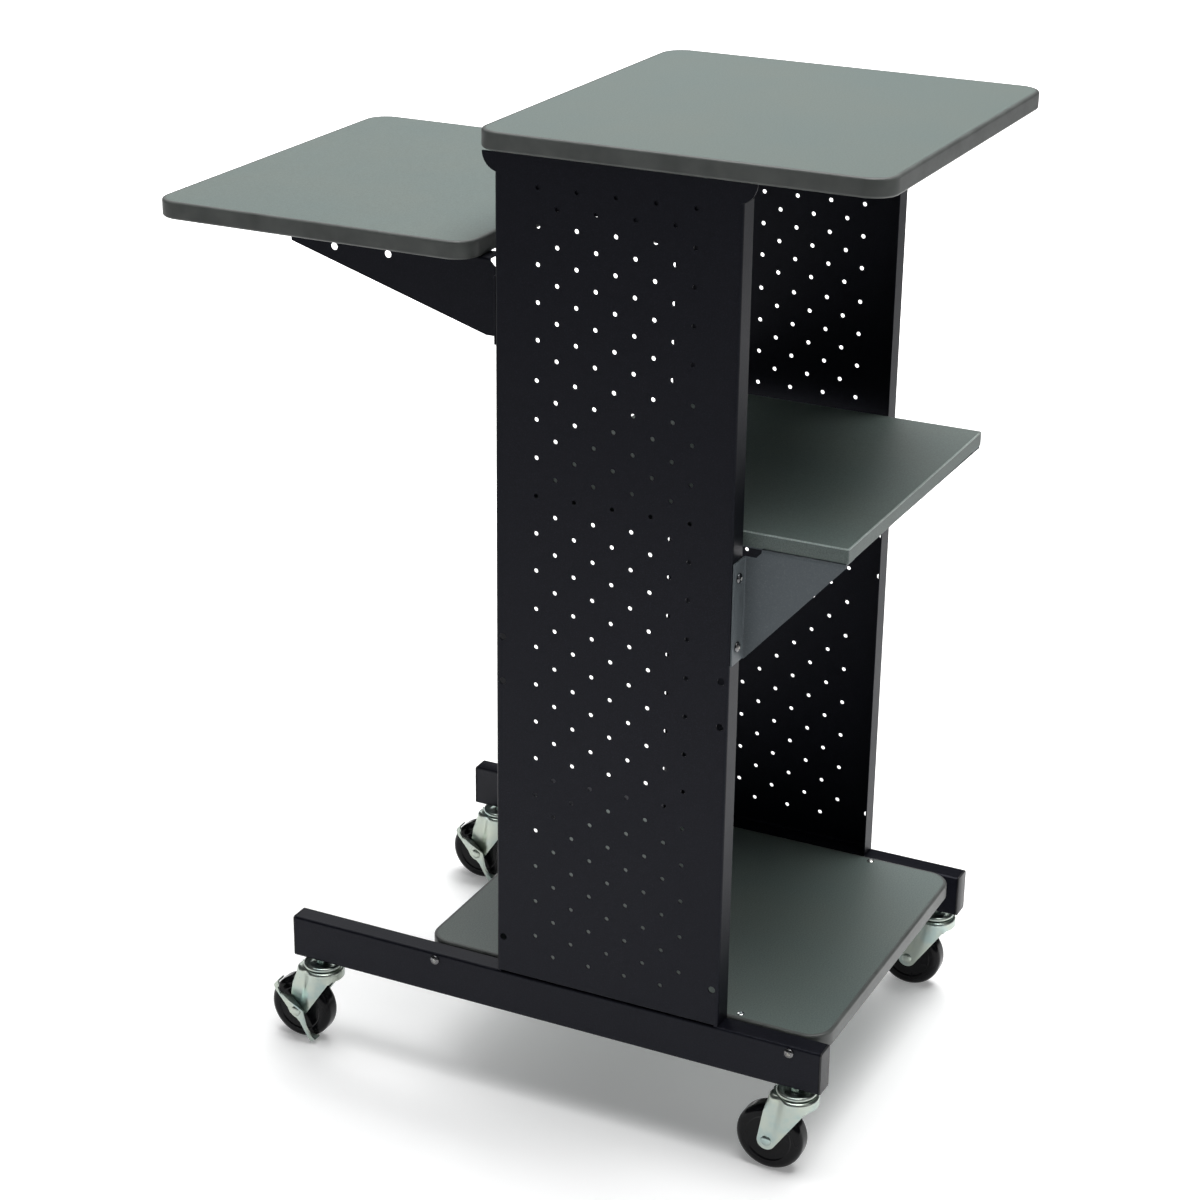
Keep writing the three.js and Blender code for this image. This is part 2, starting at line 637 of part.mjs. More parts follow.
// One pressed sheet: a round crown that runs back over the wheel, and two legs down to the axle.
function casterFork() {
  const half = FORK_INSIDE + FORK_SHEET;
  const crownLow = FORK_TOP - FORK_SHEET;
  const skirtLow = FORK_TOP - FORK_CROWN_DROP;
  const rearHalf = half - FORK_CROWN_TAPER;
  const crownShape = new THREE.Shape();
  crownShape.absarc(0, 0, FORK_CROWN_RADIUS, -Math.PI * 1.25, Math.PI * 0.25);
  crownShape.lineTo(rearHalf, FORK_CROWN_REAR);
  crownShape.lineTo(-rearHalf, FORK_CROWN_REAR);
  crownShape.closePath();
  const skirt = cut(
    rod('z', skirtLow, FORK_TOP, [0, 0], FORK_CROWN_RADIUS, 16),
    rod('z', skirtLow - CUT_MARGIN, crownLow, [0, 0], FORK_CROWN_RADIUS - FORK_SHEET, 16),
    block(-FORK_INSIDE, FORK_INSIDE, 0, 2 * FORK_CROWN_REAR, skirtLow - CUT_MARGIN, crownLow));
  return join(
    level(crownShape, crownLow, FORK_TOP, 5),
    skirt,
    upright(forkLegShape(), -half, -FORK_INSIDE),
    upright(forkLegShape(), FORK_INSIDE, half));
}

// A hard wheel with a rounded tread, a shallow web and a hub, on a bore.
function casterWheel() {
  const half = WHEEL_WIDTH / 2;
  const web = half - WEB_DEPTH;
  const [rimInner, rimOuter] = WHEEL_RIM;
  const side = [
    [AXLE_BORE, half], [HUB_RADIUS, half], [HUB_RADIUS + 1.5, web], [rimInner, web],
    [rimOuter, half - 1], [WHEEL_BEVEL_RADIUS, half - WHEEL_BEVEL],
  ];
  const otherSide = side.map(([radius, height]) => [radius, -height]).reverse();
  const profile = [...side, [WHEEL_RADIUS, 0], ...otherSide, side[0]];
  const geometry = geometryOf(turned(profile, 20));
  geometry.rotateY(Math.PI / 2);
  geometry.translate(0, TRAIL, WHEEL_RADIUS);
  return solid(geometry);
}

// A riveted axle; on a braked caster its left end reaches through the lever.
function casterAxle(braked) {
  const gapEdge = FORK_INSIDE + FORK_SHEET + GAP;
  const leftEnd = braked ? LEVER_INSIDE + LEVER_SHEET + GAP : gapEdge;
  const centre = [TRAIL, WHEEL_RADIUS];
  return join(
    rod('x', -leftEnd - RIVET_HEIGHT, gapEdge + RIVET_HEIGHT, centre, AXLE_RADIUS),
    rod('x', -leftEnd - RIVET_HEIGHT, -leftEnd, centre, RIVET_RADIUS),
    rod('x', gapEdge, gapEdge + RIVET_HEIGHT, centre, RIVET_RADIUS));
}

// A rocking brake lever outside the left leg: a three-cornered plate with two folded edges, and a
// tab at each end that passes over the tread.
function brakeLever() {
  const outer = -LEVER_INSIDE - LEVER_SHEET;
  const at = (radius, degrees) => {
    const angle = THREE.MathUtils.degToRad(degrees);
    return [TRAIL + radius * Math.cos(angle), WHEEL_RADIUS + radius * Math.sin(angle)];
  };
  const tip = ({ radius, angles }) => angles.map((degrees) => at(radius, degrees));
  const upper = tip(LEVER_UPPER_TIP);
  const lower = tip(LEVER_LOWER_TIP);
  const corners = (places) => places.map(([radius, degrees]) => at(radius, degrees));
  const shape = outline([
    ...upper, ...corners(LEVER_FRONT), ...lower, ...corners(LEVER_REAR),
  ]);
  shape.holes.push(roundHole(TRAIL, WHEEL_RADIUS, LEVER_BORE, 8));
  const plate = upright(shape, outer, -LEVER_INSIDE);
  const tab = (from, to) => {
    const [y0, z0] = from;
    const [y1, z1] = to;
    const length = Math.hypot(y1 - y0, z1 - z0);
    const dy = -LEVER_TAB_SHEET * (z1 - z0) / length;
    const dz = LEVER_TAB_SHEET * (y1 - y0) / length;
    return upright(outline([from, to, [y1 + dy, z1 + dz], [y0 + dy, z0 + dz]]),
      outer, outer + LEVER_TAB_REACH);
  };
  return join(
    plate,
    tab(upper[1], upper[0]),
    tab(lower[1], lower[0]));
}

function addCasters() {
  for (const [end, y] of Object.entries(CASTER_PLACES)) {
    for (const [side, sign] of Object.entries(SIDES)) {
      const corner = new THREE.Group();
      corner.position.set(sign * CASTER_X, y, 0);
      const braked = end === 'rear';
      const prefix = `${end}_${side}_caster`;
      place(`${prefix}_stem`, casterStem(), 'zinc', corner);
      place(`${prefix}_fork`, casterFork(), 'zinc', corner);
      place(`${prefix}_wheel`, casterWheel(), 'wheel', corner);
      place(`${prefix}_axle`, casterAxle(braked), 'zinc', corner);
      if (braked) place(`${prefix}_brake_lever`, brakeLever(), 'zinc', corner);
      podium.add(corner);
    }
  }
}

// ---- assembly -----------------------------------------------------------------------------------

for (const side of Object.keys(SIDES)) {
  placeOnSide('side_panel', side, panelWeb(side), 'panel');
  placeOnSide('panel_front_lip', side,
    panelLip(PANEL_FRONT, PANEL_FRONT + PANEL_SHEET, MIDDLE_SCREW_HEIGHTS), 'panel');
  placeOnSide('panel_rear_lip', side,
    panelLip(PANEL_REAR - PANEL_SHEET, PANEL_REAR, SIDE_SCREW_HEIGHTS), 'panel');
  placeOnSide('panel_foot', side, panelFoot(), 'panel');
  placeOnSide('base_rail', side, baseRail(), 'panel');
  placeOnSide('front_rail_cap', side, railEndCap('front'), 'cap');
  placeOnSide('rear_rail_cap', side, railEndCap('rear'), 'cap');
  placeOnSide('middle_bracket', side, middleBracket(), 'gusset');
  placeOnSide('side_bracket', side, sideBracket(), 'panel');
  placeOnSide('top_bracket', side, topBracket(), 'panel');
  placeOnSide('bottom_ledger', side, ledger(), 'panel');
}
addShelves();
addScrews();
addCasters();

export default podium;
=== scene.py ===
"""Lectern podium: two perforated side panels on base rails, four shelves and swivel casters.

Lengths in this script are millimetres in the CAD frame until a mesh is made: X from the left panel
to the right one, -Y the reader's side, +Y the side shelf's side, +Z up, floor at z = 0.
"""

import math

import bmesh
import bpy
from mathutils import Matrix, Vector
from mathutils.geometry import tessellate_polygon


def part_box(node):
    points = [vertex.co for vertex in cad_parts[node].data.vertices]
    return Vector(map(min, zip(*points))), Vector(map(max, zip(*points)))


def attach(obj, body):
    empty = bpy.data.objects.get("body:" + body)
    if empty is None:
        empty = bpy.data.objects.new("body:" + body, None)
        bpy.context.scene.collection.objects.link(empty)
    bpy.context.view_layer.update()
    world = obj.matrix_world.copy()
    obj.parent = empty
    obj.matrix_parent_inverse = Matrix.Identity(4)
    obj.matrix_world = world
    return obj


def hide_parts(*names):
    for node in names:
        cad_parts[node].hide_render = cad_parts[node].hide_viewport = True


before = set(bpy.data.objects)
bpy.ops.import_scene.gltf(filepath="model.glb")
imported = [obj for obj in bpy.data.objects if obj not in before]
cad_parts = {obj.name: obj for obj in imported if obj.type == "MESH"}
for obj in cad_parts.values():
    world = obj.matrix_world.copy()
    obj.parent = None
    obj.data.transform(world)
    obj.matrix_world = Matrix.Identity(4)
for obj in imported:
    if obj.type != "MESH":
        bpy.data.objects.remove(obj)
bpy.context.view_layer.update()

MM = 0.001
SIDES = {"left": -1, "right": 1}
ENDS = ("front", "rear")

# ---- driving dimensions ----

GAP = 0.3  # clearance between pieces that touch
CUT_EDGE = 0.3  # rounding of a sheet's cut edges under its paint
FOLD_STEPS = 5  # faces around a sheet's fold
FLAT_FACE = 0.99999  # a face this square to an axis is shaded flat
SAME_SHADE = 0.9  # a rounding's normal this near a flat face's takes it over where they meet

PANEL_SHEET = 1.5
PANEL_BEND = 3.2  # outer radius of the panel's folds
PANEL_RELIEF = 1.5  # from the fold of a lip to the foot's end
FOLD_STRIP = 0.6  # flat strip beside each fold, so that its shading stays off the web
EAR_REACH = 13.5
EAR_RADIUS = 20
HOLE_RADIUS = 2.45
HOLE_FIRST_ROW = 189.5
# Zones of rows from the bottom up: how many rows, the step between them, half the spacing of the holes
# in a row, and the pattern's shift along Y.
HOLE_ZONES = {
    "left": ((22, 21.15, 21.15, 0), (10, 20.2, 21.15, 0), (1, 22.5, 20.9, 0), (9, 19.1, 20.9, 0)),
    "right": (
        (22, 21.15, 21.15, 0), (4, 19.6, 19.7, -3.5), (6, 18.4, 19.7, -3.5), (1, 20.2, 19.7, -3.5),
        (9, 17.95, 19.7, -3.5),
    ),
}
HOLE_REACHES = (3, 4)  # half spacings from the middle to the last hole, in even and odd rows
FIXING_HOLE_RADIUS = 4
FIXING_HOLE_INSET = 8
FIXING_HOLE_HEIGHTS = (200, 503, 553)
HOLE_SIDES = 16

RAIL_CORNER = 3.0
RAIL_WALL = 1.6
RAIL_CUT_EDGE = 0.4
RAIL_CORNER_STEPS = 5
CAP_RIM = ((0, 0.9), (0.25, 0.35), (0.9, 0))  # (depth from the outside, inset from the tube's outline)
CAP_FIT = 0.4  # clearance of the spigot in the tube
CAP_TIP = 1.0  # chamfer at the spigot's end

SHELF_CORNER = 27
SHELF_CORNER_STEPS = 14
SHELF_BAND = 4  # width of the band around a board
SHELF_EDGE = 2.8  # rounding of the band's outer edges
SHELF_EDGE_STEPS = 6
SHELF_JOINT = 0.15  # the hairline between a board and its band
MIDDLE_SHELF_CORNER = 2
MIDDLE_SHELF_EDGE = 1.4
ARRIS_PROUD = 0.05  # how far the paler strip along the arris, a painted highlight, stands off the middle shelf's edge

BRACKET_SHEET = 1.8
BRACKET_BEND = 1.6  # inner radius of a bracket's folds
BRACKET_OUTER_BEND = BRACKET_BEND + BRACKET_SHEET
BRACKET_FLANGE = 24
RELIEF_LENGTH = 19
RELIEF_HEIGHT = 10
RELIEF_SLOPE = 6
RELIEF_CLEARANCE = 0.8
SIDE_BRACKET_HOLES = (139, 202)
SIDE_BRACKET_HOLE_DROP = 12
SIDE_BRACKET_HOLE_RADIUS = 4
SIDE_BRACKET_HOLE_SIDES = 20
SIDE_BRACKET_FOOT = 24
SIDE_BRACKET_NOSE = 12
TOP_BRACKET_CHAMFER = (42, 24)

# Screws: the head's radius and height, the shank's radius and length, and the reach of the recess's arms
SCREW_HEAD_HEIGHT = 3
LIP_SCREW = (5.5, SCREW_HEAD_HEIGHT, 2.2, 9, 2.7)
RAIL_SCREW = (5.5, SCREW_HEAD_HEIGHT, 2.2, 45, 2.7)
SHELF_SCREW = (4.2, 1.8, 1.9, 14, 2.1)
SCREW_RIM = 0.35  # upright rim under a head's dome
SCREW_SIDES = 32
SCREW_GLINT_RADIUS = 1.4  # painted glint: the middle of each head out to this radius is bright steel, in place of a highlight
SHELF_SCREW_Y = (-271, 7)
SHELF_SCREW_INSET = 9.5

TRAIL = 26
FORK_SHEET = 2.3
FORK_INSIDE = 15
FORK_CROWN_RADIUS = 24.5
FORK_CROWN_CORNER = 9  # rounding, seen from above, of the crown's rear corners
FORK_CROWN_TAPER = (3, 14)  # where the crown's circle starts to run into the legs, and how long that takes
FORK_REAR = 28
FORK_FOOT_RADIUS = 10.5
FORK_FOOT_TURN = (8, -142)  # the angles between which a leg's round foot runs
FORK_FRONT = (-15.5, 14.5)  # y and drop from the crown where a leg's front edge meets the skirt
FORK_SKIRT = 11
FORK_SHOULDER = 3.6  # outer radius of the shoulder in front; it grows behind
FORK_SHOULDER_GROWTH = 2.4
FORK_CORNER_TURN = 0.7  # how much the shoulder turns to the rear in the crown's corners
FORK_BACK_SWEEP = 1.6
FORK_CUT_EDGE = 0.35
RACE_RADIUS = 17.5
RACE_RIM = (19.4, 2.7, 2.6)  # radius and height of the rolled rim's centre, and its rounding
RACE_DISH = (13.6, 5.2, 3.4)
RACE_MIDDLE = ((10.4, 2.2), (9.4, 3.3), (8.6, 3.5), (0, 3.5))  # (radius, height)
RACE_SIDES = 56
HEX_CORNER = 8.0  # from the middle of the hexagon to its corners
HEX_CHAMFER = (7.5, 0.3, 0.9)  # the corners' radius halfway, its depth, and the chamfer's
STEM_NECK = (4.7, 0.6)  # radius, and how far the thread starts above the hexagon
STEM_POINT = (4.0, 1.5)  # radius, and how far the thread ends below the stem's top
STEM_SIDES = 48
THREAD_CREST = 4.8
THREAD_ROOT = 4.2
THREAD_PITCH = 1.25
WHEEL_FACE = (  # (radius, depth below the hub's face)
    (4.6, 0.3), (5.0, 0), (9.6, 0), (10.4, 0.4), (11.2, 1.2), (12.2, 1.5), (24.6, 1.5), (25.4, 1.3),
    (26.2, 0.6), (27.2, 0.3),
)
TREAD_ROUNDING = 8.0
TREAD_CROWN = 2.0  # from the rounding's centre to the tread's flat middle
RIM_DEPTH = 0.2
WHEEL_SIDES = 72
PIN_RADIUS = 3.9
PIN_HEAD = (6.0, 2.2)  # radius and height
RIVET_HEAD = (5.52, 2.0)
RIVET_SEAT = 2.2
PIN_STEP = 0.1
PIN_SIDES = 32
DOME_ANGLES = (20, 40, 60, 80)
LEVER_SHEET = 1.6
LEVER_BEND = 1.4
# The lever's plate, in (y, z) about the axle from the upper tip down, and the pedal's edge with its reach
LEVER_FRONT = (
    (22.8, 31), (23.6, 25.5), (17.5, 17.8), (11, 18.5), (7, 17.5), (2, 14.2), (-2, 11), (-6, 6),
    (-9.6, 1.5), (-10, -6.3), (-11.7, -15), (-15, -22), (-19, -27.5),
)
LEVER_PEDAL = (
    (22, 31.2, 1.8), (22.4, 26.4, 2), (16.8, 20.6, 5), (12.6, 21.4, 7.4), (8.6, 18.6, 8.2), (3.4, 15.6, 8.5),
    (-1, 13.2, 8.5), (-6.6, 10, 8), (-11.6, 5.6, 6.5), (-12.4, -4, 4), (-13.4, -13.6, 2.6),
    (-16.4, -20.8, 2), (-20, -26.6, 1.8),
)
LEVER_LOWER_TIP = ((-24.5, -31.5), (-18.5, -35.5))
LEVER_REAR = ((-14.6, -29.5), (-10, -22), (-5, -13), (0, -8), (8, -3.6), (11, 2.6), (17, 10), (26, 21))
LEVER_UPPER_TIP = ((28.4, 28.2), (22, 35.8))
LEVER_TAB = ((0, 1), (9.5, 1), (11.5, 0.85), (12.8, 0.6), (13.5, 0.3))  # (reach inwards, share of width)
LEVER_CUT_EDGE = 0.3

FLOOR_REACH = 14000
FLOOR_GLOW = 0.22  # light that the pale floor gives, as a lit table does
FLOOR_FADE = (1.3, 3.0)  # metres from the middle between which the floor, seen directly, fades to white
SURROUND = 0.06  # light from the surround; seen directly it is white, as the far floor is
SURROUND_COLOUR = (0.92, 0.96, 1.0)
WHITE = (1.0, 1.0, 1.0)
# Lights: the place and the point it is aimed at in metres, size in metres, power in watts, spread in degrees
LIGHTS = {
    "overhead_softbox": ((0.55, -0.35, 4.6), (0.2, -0.15, 0), 4.0, 105, 88),
    "front_softbox": ((-0.6, -3.4, 1.9), (0, 0, 0.5), 1.6, 6, 180),
    "floor_light": ((5.2, 3.6, 4.5), (5.2, 3.6, 0), 6.0, 270, 140),
}
CAMERA_LENS = 81.82
CAMERA_PLACE = (-2.5103, -1.2213, 1.6679)  # metres
CAMERA_ANGLES = (25.825, 22.538, 0.699)  # degrees: yaw from +X towards +Y, pitch down, roll


# ---- mesh building ----


class Surface:
    """Points in millimetres and the faces between them."""

    def __init__(self):
        self.points = []
        self.faces = []

    def ring(self, points):
        """Adds points and returns their numbers."""
        start = len(self.points)
        self.points.extend(tuple(p) for p in points)
        return list(range(start, len(self.points)))

    def bridge(self, a, b, closed=True):
        """Quads between two rows of as many points."""
        count = len(a)
        for i in range(count if closed else count - 1):
            j = (i + 1) % count
            self.faces.append((a[i], a[j], b[j], b[i]))

    def rows(self, rows, closed=True):
        """Quads between each row of points and the next; returns the first and the last row."""
        made = [self.ring(row) for row in rows]
        for a, b in zip(made, made[1:]):
            self.bridge(a, b, closed)
        return made[0], made[-1]

    def loop(self, rows):
        """Rows of quads, and one more from the last row back to the first."""
        first, last = self.rows(rows)
        self.bridge(last, first)

    def capped(self, rows):
        """Rows of quads with a flat face inside the first row and one inside the last."""
        for end in self.rows(rows):
            self.fill(end)

    def fill(self, *rings):
        """A flat face inside the first ring, with the others as holes."""
        numbers = [n for ring in rings for n in ring]
        loops = [[Vector(self.points[n]) for n in ring] for ring in rings]
        for triangle in tessellate_polygon(loops):
            self.faces.append(tuple(numbers[i] for i in triangle))

    def object(self, name, outwards=None):
        """A mesh object in metres. An open surface is turned so that its largest face looks outwards."""
        mesh = bpy.data.meshes.new(name)
        mesh.from_pydata([Vector(p) * MM for p in self.points], [], self.faces)
        bm = bmesh.new()
        bm.from_mesh(mesh)
        bmesh.ops.remove_doubles(bm, verts=bm.verts, dist=1e-6)
        bmesh.ops.dissolve_degenerate(bm, edges=bm.edges, dist=1e-6)
        bmesh.ops.recalc_face_normals(bm, faces=bm.faces)
        if outwards is not None:
            largest = max(bm.faces, key=lambda face: face.calc_area())
            if largest.normal.dot(Vector(outwards)) < 0:
                bmesh.ops.reverse_faces(bm, faces=bm.faces)
        bm.to_mesh(mesh)
        bm.free()
        made = bpy.data.objects.new(name, mesh)
        bpy.context.scene.collection.objects.link(made)
        return made


def apply_modifiers(piece):
    """Replaces a piece's mesh by the one that its modifiers make."""
    graph = bpy.context.evaluated_depsgraph_get()
    graph.update()
    old = piece.data
    piece.data = bpy.data.meshes.new_from_object(piece.evaluated_get(graph))
    piece.data.name = piece.name
    piece.modifiers.clear()
    bpy.data.meshes.remove(old)
    return piece


def thicken(piece, thickness):
    """Makes an open sheet solid, behind its outer face."""
    solidify = piece.modifiers.new("sheet", "SOLIDIFY")
    solidify.thickness = thickness * MM
    solidify.offset = -1
    solidify.use_even_offset = True
    return apply_modifiers(piece)


def round_edges(piece, width, segments=2, angle=40):
    """Rounds every edge sharper than the angle, and shades large faces flat and roundings smooth."""
    piece.data.shade_smooth()
    if width:
        bevel = piece.modifiers.new("edges", "BEVEL")
        bevel.width = width * MM
        bevel.segments = segments
        bevel.limit_method = "ANGLE"
        bevel.angle_limit = math.radians(angle)
        bevel.use_clamp_overlap = True
        bevel.harden_normals = True
    else:
        weighted = piece.modifiers.new("normals", "WEIGHTED_NORMAL")
        weighted.weight = 100
        weighted.keep_sharp = True
    apply_modifiers(piece)
    if width:
        settle_normals(piece.data)
    return piece


def settle_normals(mesh):
    """Shades each flat face with its own normal, which the roundings beside it share where they meet."""
    normals = [Vector(corner.vector) for corner in mesh.corner_normals]
    flat_faces = [face for face in mesh.polygons if max(abs(c) for c in face.normal) > FLAT_FACE]
    flat_at = {}
    for face in flat_faces:
        for vertex in face.vertices:
            flat_at.setdefault(vertex, []).append(face.normal.copy())
    for corner, loop in enumerate(mesh.loops):
        for normal in flat_at.get(loop.vertex_index, ()):
            if normals[corner].dot(normal) > SAME_SHADE:
                normals[corner] = normal
    for face in flat_faces:
        for corner in face.loop_indices:
            normals[corner] = face.normal.copy()
    mesh.normals_split_custom_set(normals)


def cut(piece, cutter):
    """Cuts the cutter out of the piece and removes it."""
    boolean = piece.modifiers.new("cut", "BOOLEAN")
    boolean.operation = "DIFFERENCE"
    boolean.solver = "EXACT"
    boolean.object = cutter
    apply_modifiers(piece)
    bpy.data.objects.remove(cutter)
    return piece


def moved(piece, matrix):
    """Moves a mesh's own points; the matrix is in metres."""
    piece.data.transform(matrix)
    if matrix.determinant() < 0:
        piece.data.flip_normals()
    return piece


def copied(piece, name, matrix):
    """A second piece of the same shape, somewhere else."""
    twin = piece.copy()
    twin.data = piece.data.copy()
    twin.name = name
    twin.data.name = name
    bpy.context.scene.collection.objects.link(twin)
    return moved(twin, matrix)


def put_on(piece, body, coat, *nodes):
    """Gives a piece the coat's material and its CAD body, and hides the CAD nodes that it stands for; the
    coat's slot name is not used.
    """
    slot, material = coat
    piece.data.materials.clear()
    piece.data.materials.append(material)
    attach(piece, body)
    if nodes:
        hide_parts(*nodes)


def put_on_side(piece, side, coat, *nodes):
    """Puts a piece drawn on the left on the frame, on the left or mirrored to the right."""
    if SIDES[side] > 0:
        moved(piece, Matrix.Scale(-1, 4, (1, 0, 0)))
    put_on(piece, "frame", coat, *nodes)


def box_mm(node):
    """A CAD node's lowest and highest corner, in millimetres."""
    low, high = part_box(node)
    return low / MM, high / MM


def arc(centre, radius, start, end, steps):
    """Points from one angle to another, in degrees, both ends included."""
    turns = [math.radians(start + (end - start) * i / steps) for i in range(steps + 1)]
    return [(centre[0] + radius * math.cos(t), centre[1] + radius * math.sin(t)) for t in turns]


def circle(centre, radius, sides):
    """Points around a circle, anticlockwise from the first axis."""
    return arc(centre, radius, 0, 360, sides)[:-1]


def rounded_rectangle(u0, u1, v0, v1, radius, steps=8):
    """An anticlockwise rectangle with rounded corners."""
    return (
        arc((u1 - radius, v0 + radius), radius, -90, 0, steps)
        + arc((u1 - radius, v1 - radius), radius, 0, 90, steps)
        + arc((u0 + radius, v1 - radius), radius, 90, 180, steps)
        + arc((u0 + radius, v0 + radius), radius, 180, 270, steps)
    )


def inset(loop, distance):
    """The loop moved inwards, to the left of its direction, by a distance."""
    made = []
    count = len(loop)
    for i in range(count):
        before = Vector(loop[i]) - Vector(loop[i - 1])
        after = Vector(loop[(i + 1) % count]) - Vector(loop[i])
        n0 = Vector((-before.y, before.x)).normalized()
        n1 = Vector((-after.y, after.x)).normalized()
        middle = (n0 + n1).normalized()
        made.append(Vector(loop[i]) + middle * distance / max(middle.dot(n0), 0.3))
    return made


def rounded_edge(low, high, rounding, steps):
    """A board's edge from bottom to top, as (depth inside its outline, height) points."""
    lower = arc((rounding, low + rounding), rounding, -90, -180, steps)
    upper = arc((rounding, high - rounding), rounding, 180, 90, steps)
    return lower + upper


def around(outline, section):
    """A row of points around an outline for each (depth, height) point of a section."""
    return [[(*p, height) for p in inset(outline, depth)] for depth, height in section]


def board(name, outline, low, high, rounding, steps):
    """A level board with an anticlockwise outline and rounded edges."""
    surface = Surface()
    surface.capped(around(outline, rounded_edge(low, high, rounding, steps)))
    return surface.object(name)


def hoop(name, outline, section):
    """A closed band around an outline with a closed (depth, height) section."""
    surface = Surface()
    surface.loop(around(outline, section))
    return surface.object(name)


def turned(name, profile, sides, axis="z"):
    """A body turned about an axis from [radius, height] points that start and end on the axis or meet."""
    surface = Surface()
    rings = []
    for radius, height in profile:
        ring = circle((0, 0), radius, sides)
        rings.append([(*p, height) if axis == "z" else (height, *p) for p in ring])
    if profile[0][0] > 0:
        surface.loop(rings)
    else:
        surface.rows(rings)
    return surface.object(name)


# ---- materials ----


class Finish:
    """A procedural material on the principled shader, in the object's own coordinates."""

    def __init__(self, name, roughness, metallic=0.0, specular=0.5):
        self.material = bpy.data.materials.new(name)
        self.material.use_nodes = True
        self.tree = self.material.node_tree
        self.shader = self.tree.nodes["Principled BSDF"]
        self.put(roughness, self.shader.inputs["Roughness"])
        self.put(metallic, self.shader.inputs["Metallic"])
        self.put(specular, self.shader.inputs["Specular IOR Level"])
        self.place = self.tree.nodes.new("ShaderNodeTexCoord").outputs["Object"]

    def node(self, kind, inputs):
        """A new node, with a number, a colour or a socket put on each of its named inputs."""
        made = self.tree.nodes.new(f"ShaderNode{kind}")
        for name, value in inputs.items():
            self.put(value, made.inputs[name])
        return made

    def noise(self, scale, detail=3.0, roughness=0.6, stretch=None):
        """Noise with so many features to the metre, stretched along an axis if asked."""
        place = self.place
        if stretch:
            mapping = self.node("Mapping", {"Vector": place})
            mapping.inputs["Scale"].default_value = stretch
            place = mapping.outputs["Vector"]
        inputs = {"Scale": scale, "Detail": detail, "Roughness": roughness, "Vector": place}
        return self.node("TexNoise", inputs).outputs["Fac"]

    def cells(self, scale):
        """Rounded grains, so many to the metre."""
        node = self.node("TexVoronoi", {"Scale": scale, "Vector": self.place})
        node.feature = "SMOOTH_F1"
        node.inputs["Smoothness"].default_value = 0.6
        return node.outputs["Distance"]

    def ramp(self, factor, stops):
        """Colours along a factor, as (position, colour) pairs."""
        node = self.node("ValToRGB", {"Fac": factor})
        elements = node.color_ramp.elements
        for i, (position, colour) in enumerate(stops):
            element = elements[i] if i < 2 else elements.new(position)
            element.position = position
            element.color = (*colour, 1.0)
        return node.outputs["Color"]

    def mix(self, factor, a, b, blend="MIX"):
        """Two colours mixed; the factor is a number or a socket."""
        node = self.tree.nodes.new("ShaderNodeMix")
        node.data_type = "RGBA"
        node.blend_type = blend
        self.put(factor, node.inputs["Factor"])
        self.put(a, node.inputs[6])
        self.put(b, node.inputs[7])
        return node.outputs[2]

    def span(self, factor, low, high):
        """A 0 to 1 value spread over low to high."""
        return self.node("MapRange", {"Value": factor, "To Min": low, "To Max": high}).outputs["Result"]

    def bump(self, height, strength, depth, after=None):
        """A bump as deep as the given millimetres."""
        node = self.node("Bump", {"Strength": strength, "Distance": depth * MM, "Height": height})
        if after is not None:
            self.put(after, node.inputs["Normal"])
        return node.outputs["Normal"]

    def put(self, value, socket):
        """Links a socket to an input, or sets the input to a number or an opaque colour."""
        if isinstance(value, bpy.types.NodeSocket):
            self.tree.links.new(value, socket)
        elif isinstance(value, tuple):
            socket.default_value = (*value, 1.0)
        else:
            socket.default_value = value

    def done(self, colour, roughness=None, normal=None):
        """The material, with what its shader takes from the nodes."""
        self.put(colour, self.shader.inputs["Base Color"])
        if roughness is not None:
            self.put(roughness, self.shader.inputs["Roughness"])
        if normal is not None:
            self.put(normal, self.shader.inputs["Normal"])
        return self.material


def shade(colour, factor):
    """A colour made lighter or darker by a factor."""
    return tuple(c * factor for c in colour)


def powder_coat(name, colour, roughness=0.44, specular=0.18, tint=(0.84, 0.87, 1.0), contrast=1.0):
    """Fine orange-peel paint with a scatter of slightly lighter grains and soft uneven gloss."""
    finish = Finish(name, roughness, specular=specular)
    finish.put(tint, finish.shader.inputs["Specular Tint"])
    grains = finish.noise(700, 2)
    patches = finish.noise(7, 3)
    tones = ((0.35, 0.7), (0.58, 1.2), (0.7, 2.4))
    stops = [(place, shade(colour, 1 + (tone - 1) * contrast)) for place, tone in tones]
    base = finish.ramp(grains, stops)
    base = finish.mix(finish.span(patches, 0.0, 0.5), base, shade(colour, 1 + 0.25 * contrast))
    gloss = finish.span(patches, roughness - 0.05, roughness + 0.07)
    peel = finish.bump(finish.cells(420), 0.5, 0.09)
    return finish.done(base, gloss, finish.bump(grains, 0.4, 0.05, peel))


def laminate(name, colour):
    """Pebbled grey foil: fine light and dark flecks over a pressed grain."""
    finish = Finish(name, 0.5)
    flecks = finish.noise(620, 3, 0.75)
    clouds = finish.noise(9, 3)
    base = finish.ramp(flecks, [(0.32, shade(colour, 0.72)), (0.5, colour), (0.68, shade(colour, 1.3))])
    tone = finish.ramp(clouds, [(0.3, (0.93, 0.97, 0.98)), (0.7, (1.0, 0.985, 0.965))])
    base = finish.mix(1.0, base, tone, "MULTIPLY")
    gloss = finish.span(flecks, 0.40, 0.58)
    pebble = finish.bump(finish.cells(330), 0.5, 0.12)
    return finish.done(base, gloss, finish.bump(flecks, 0.3, 0.05, pebble))


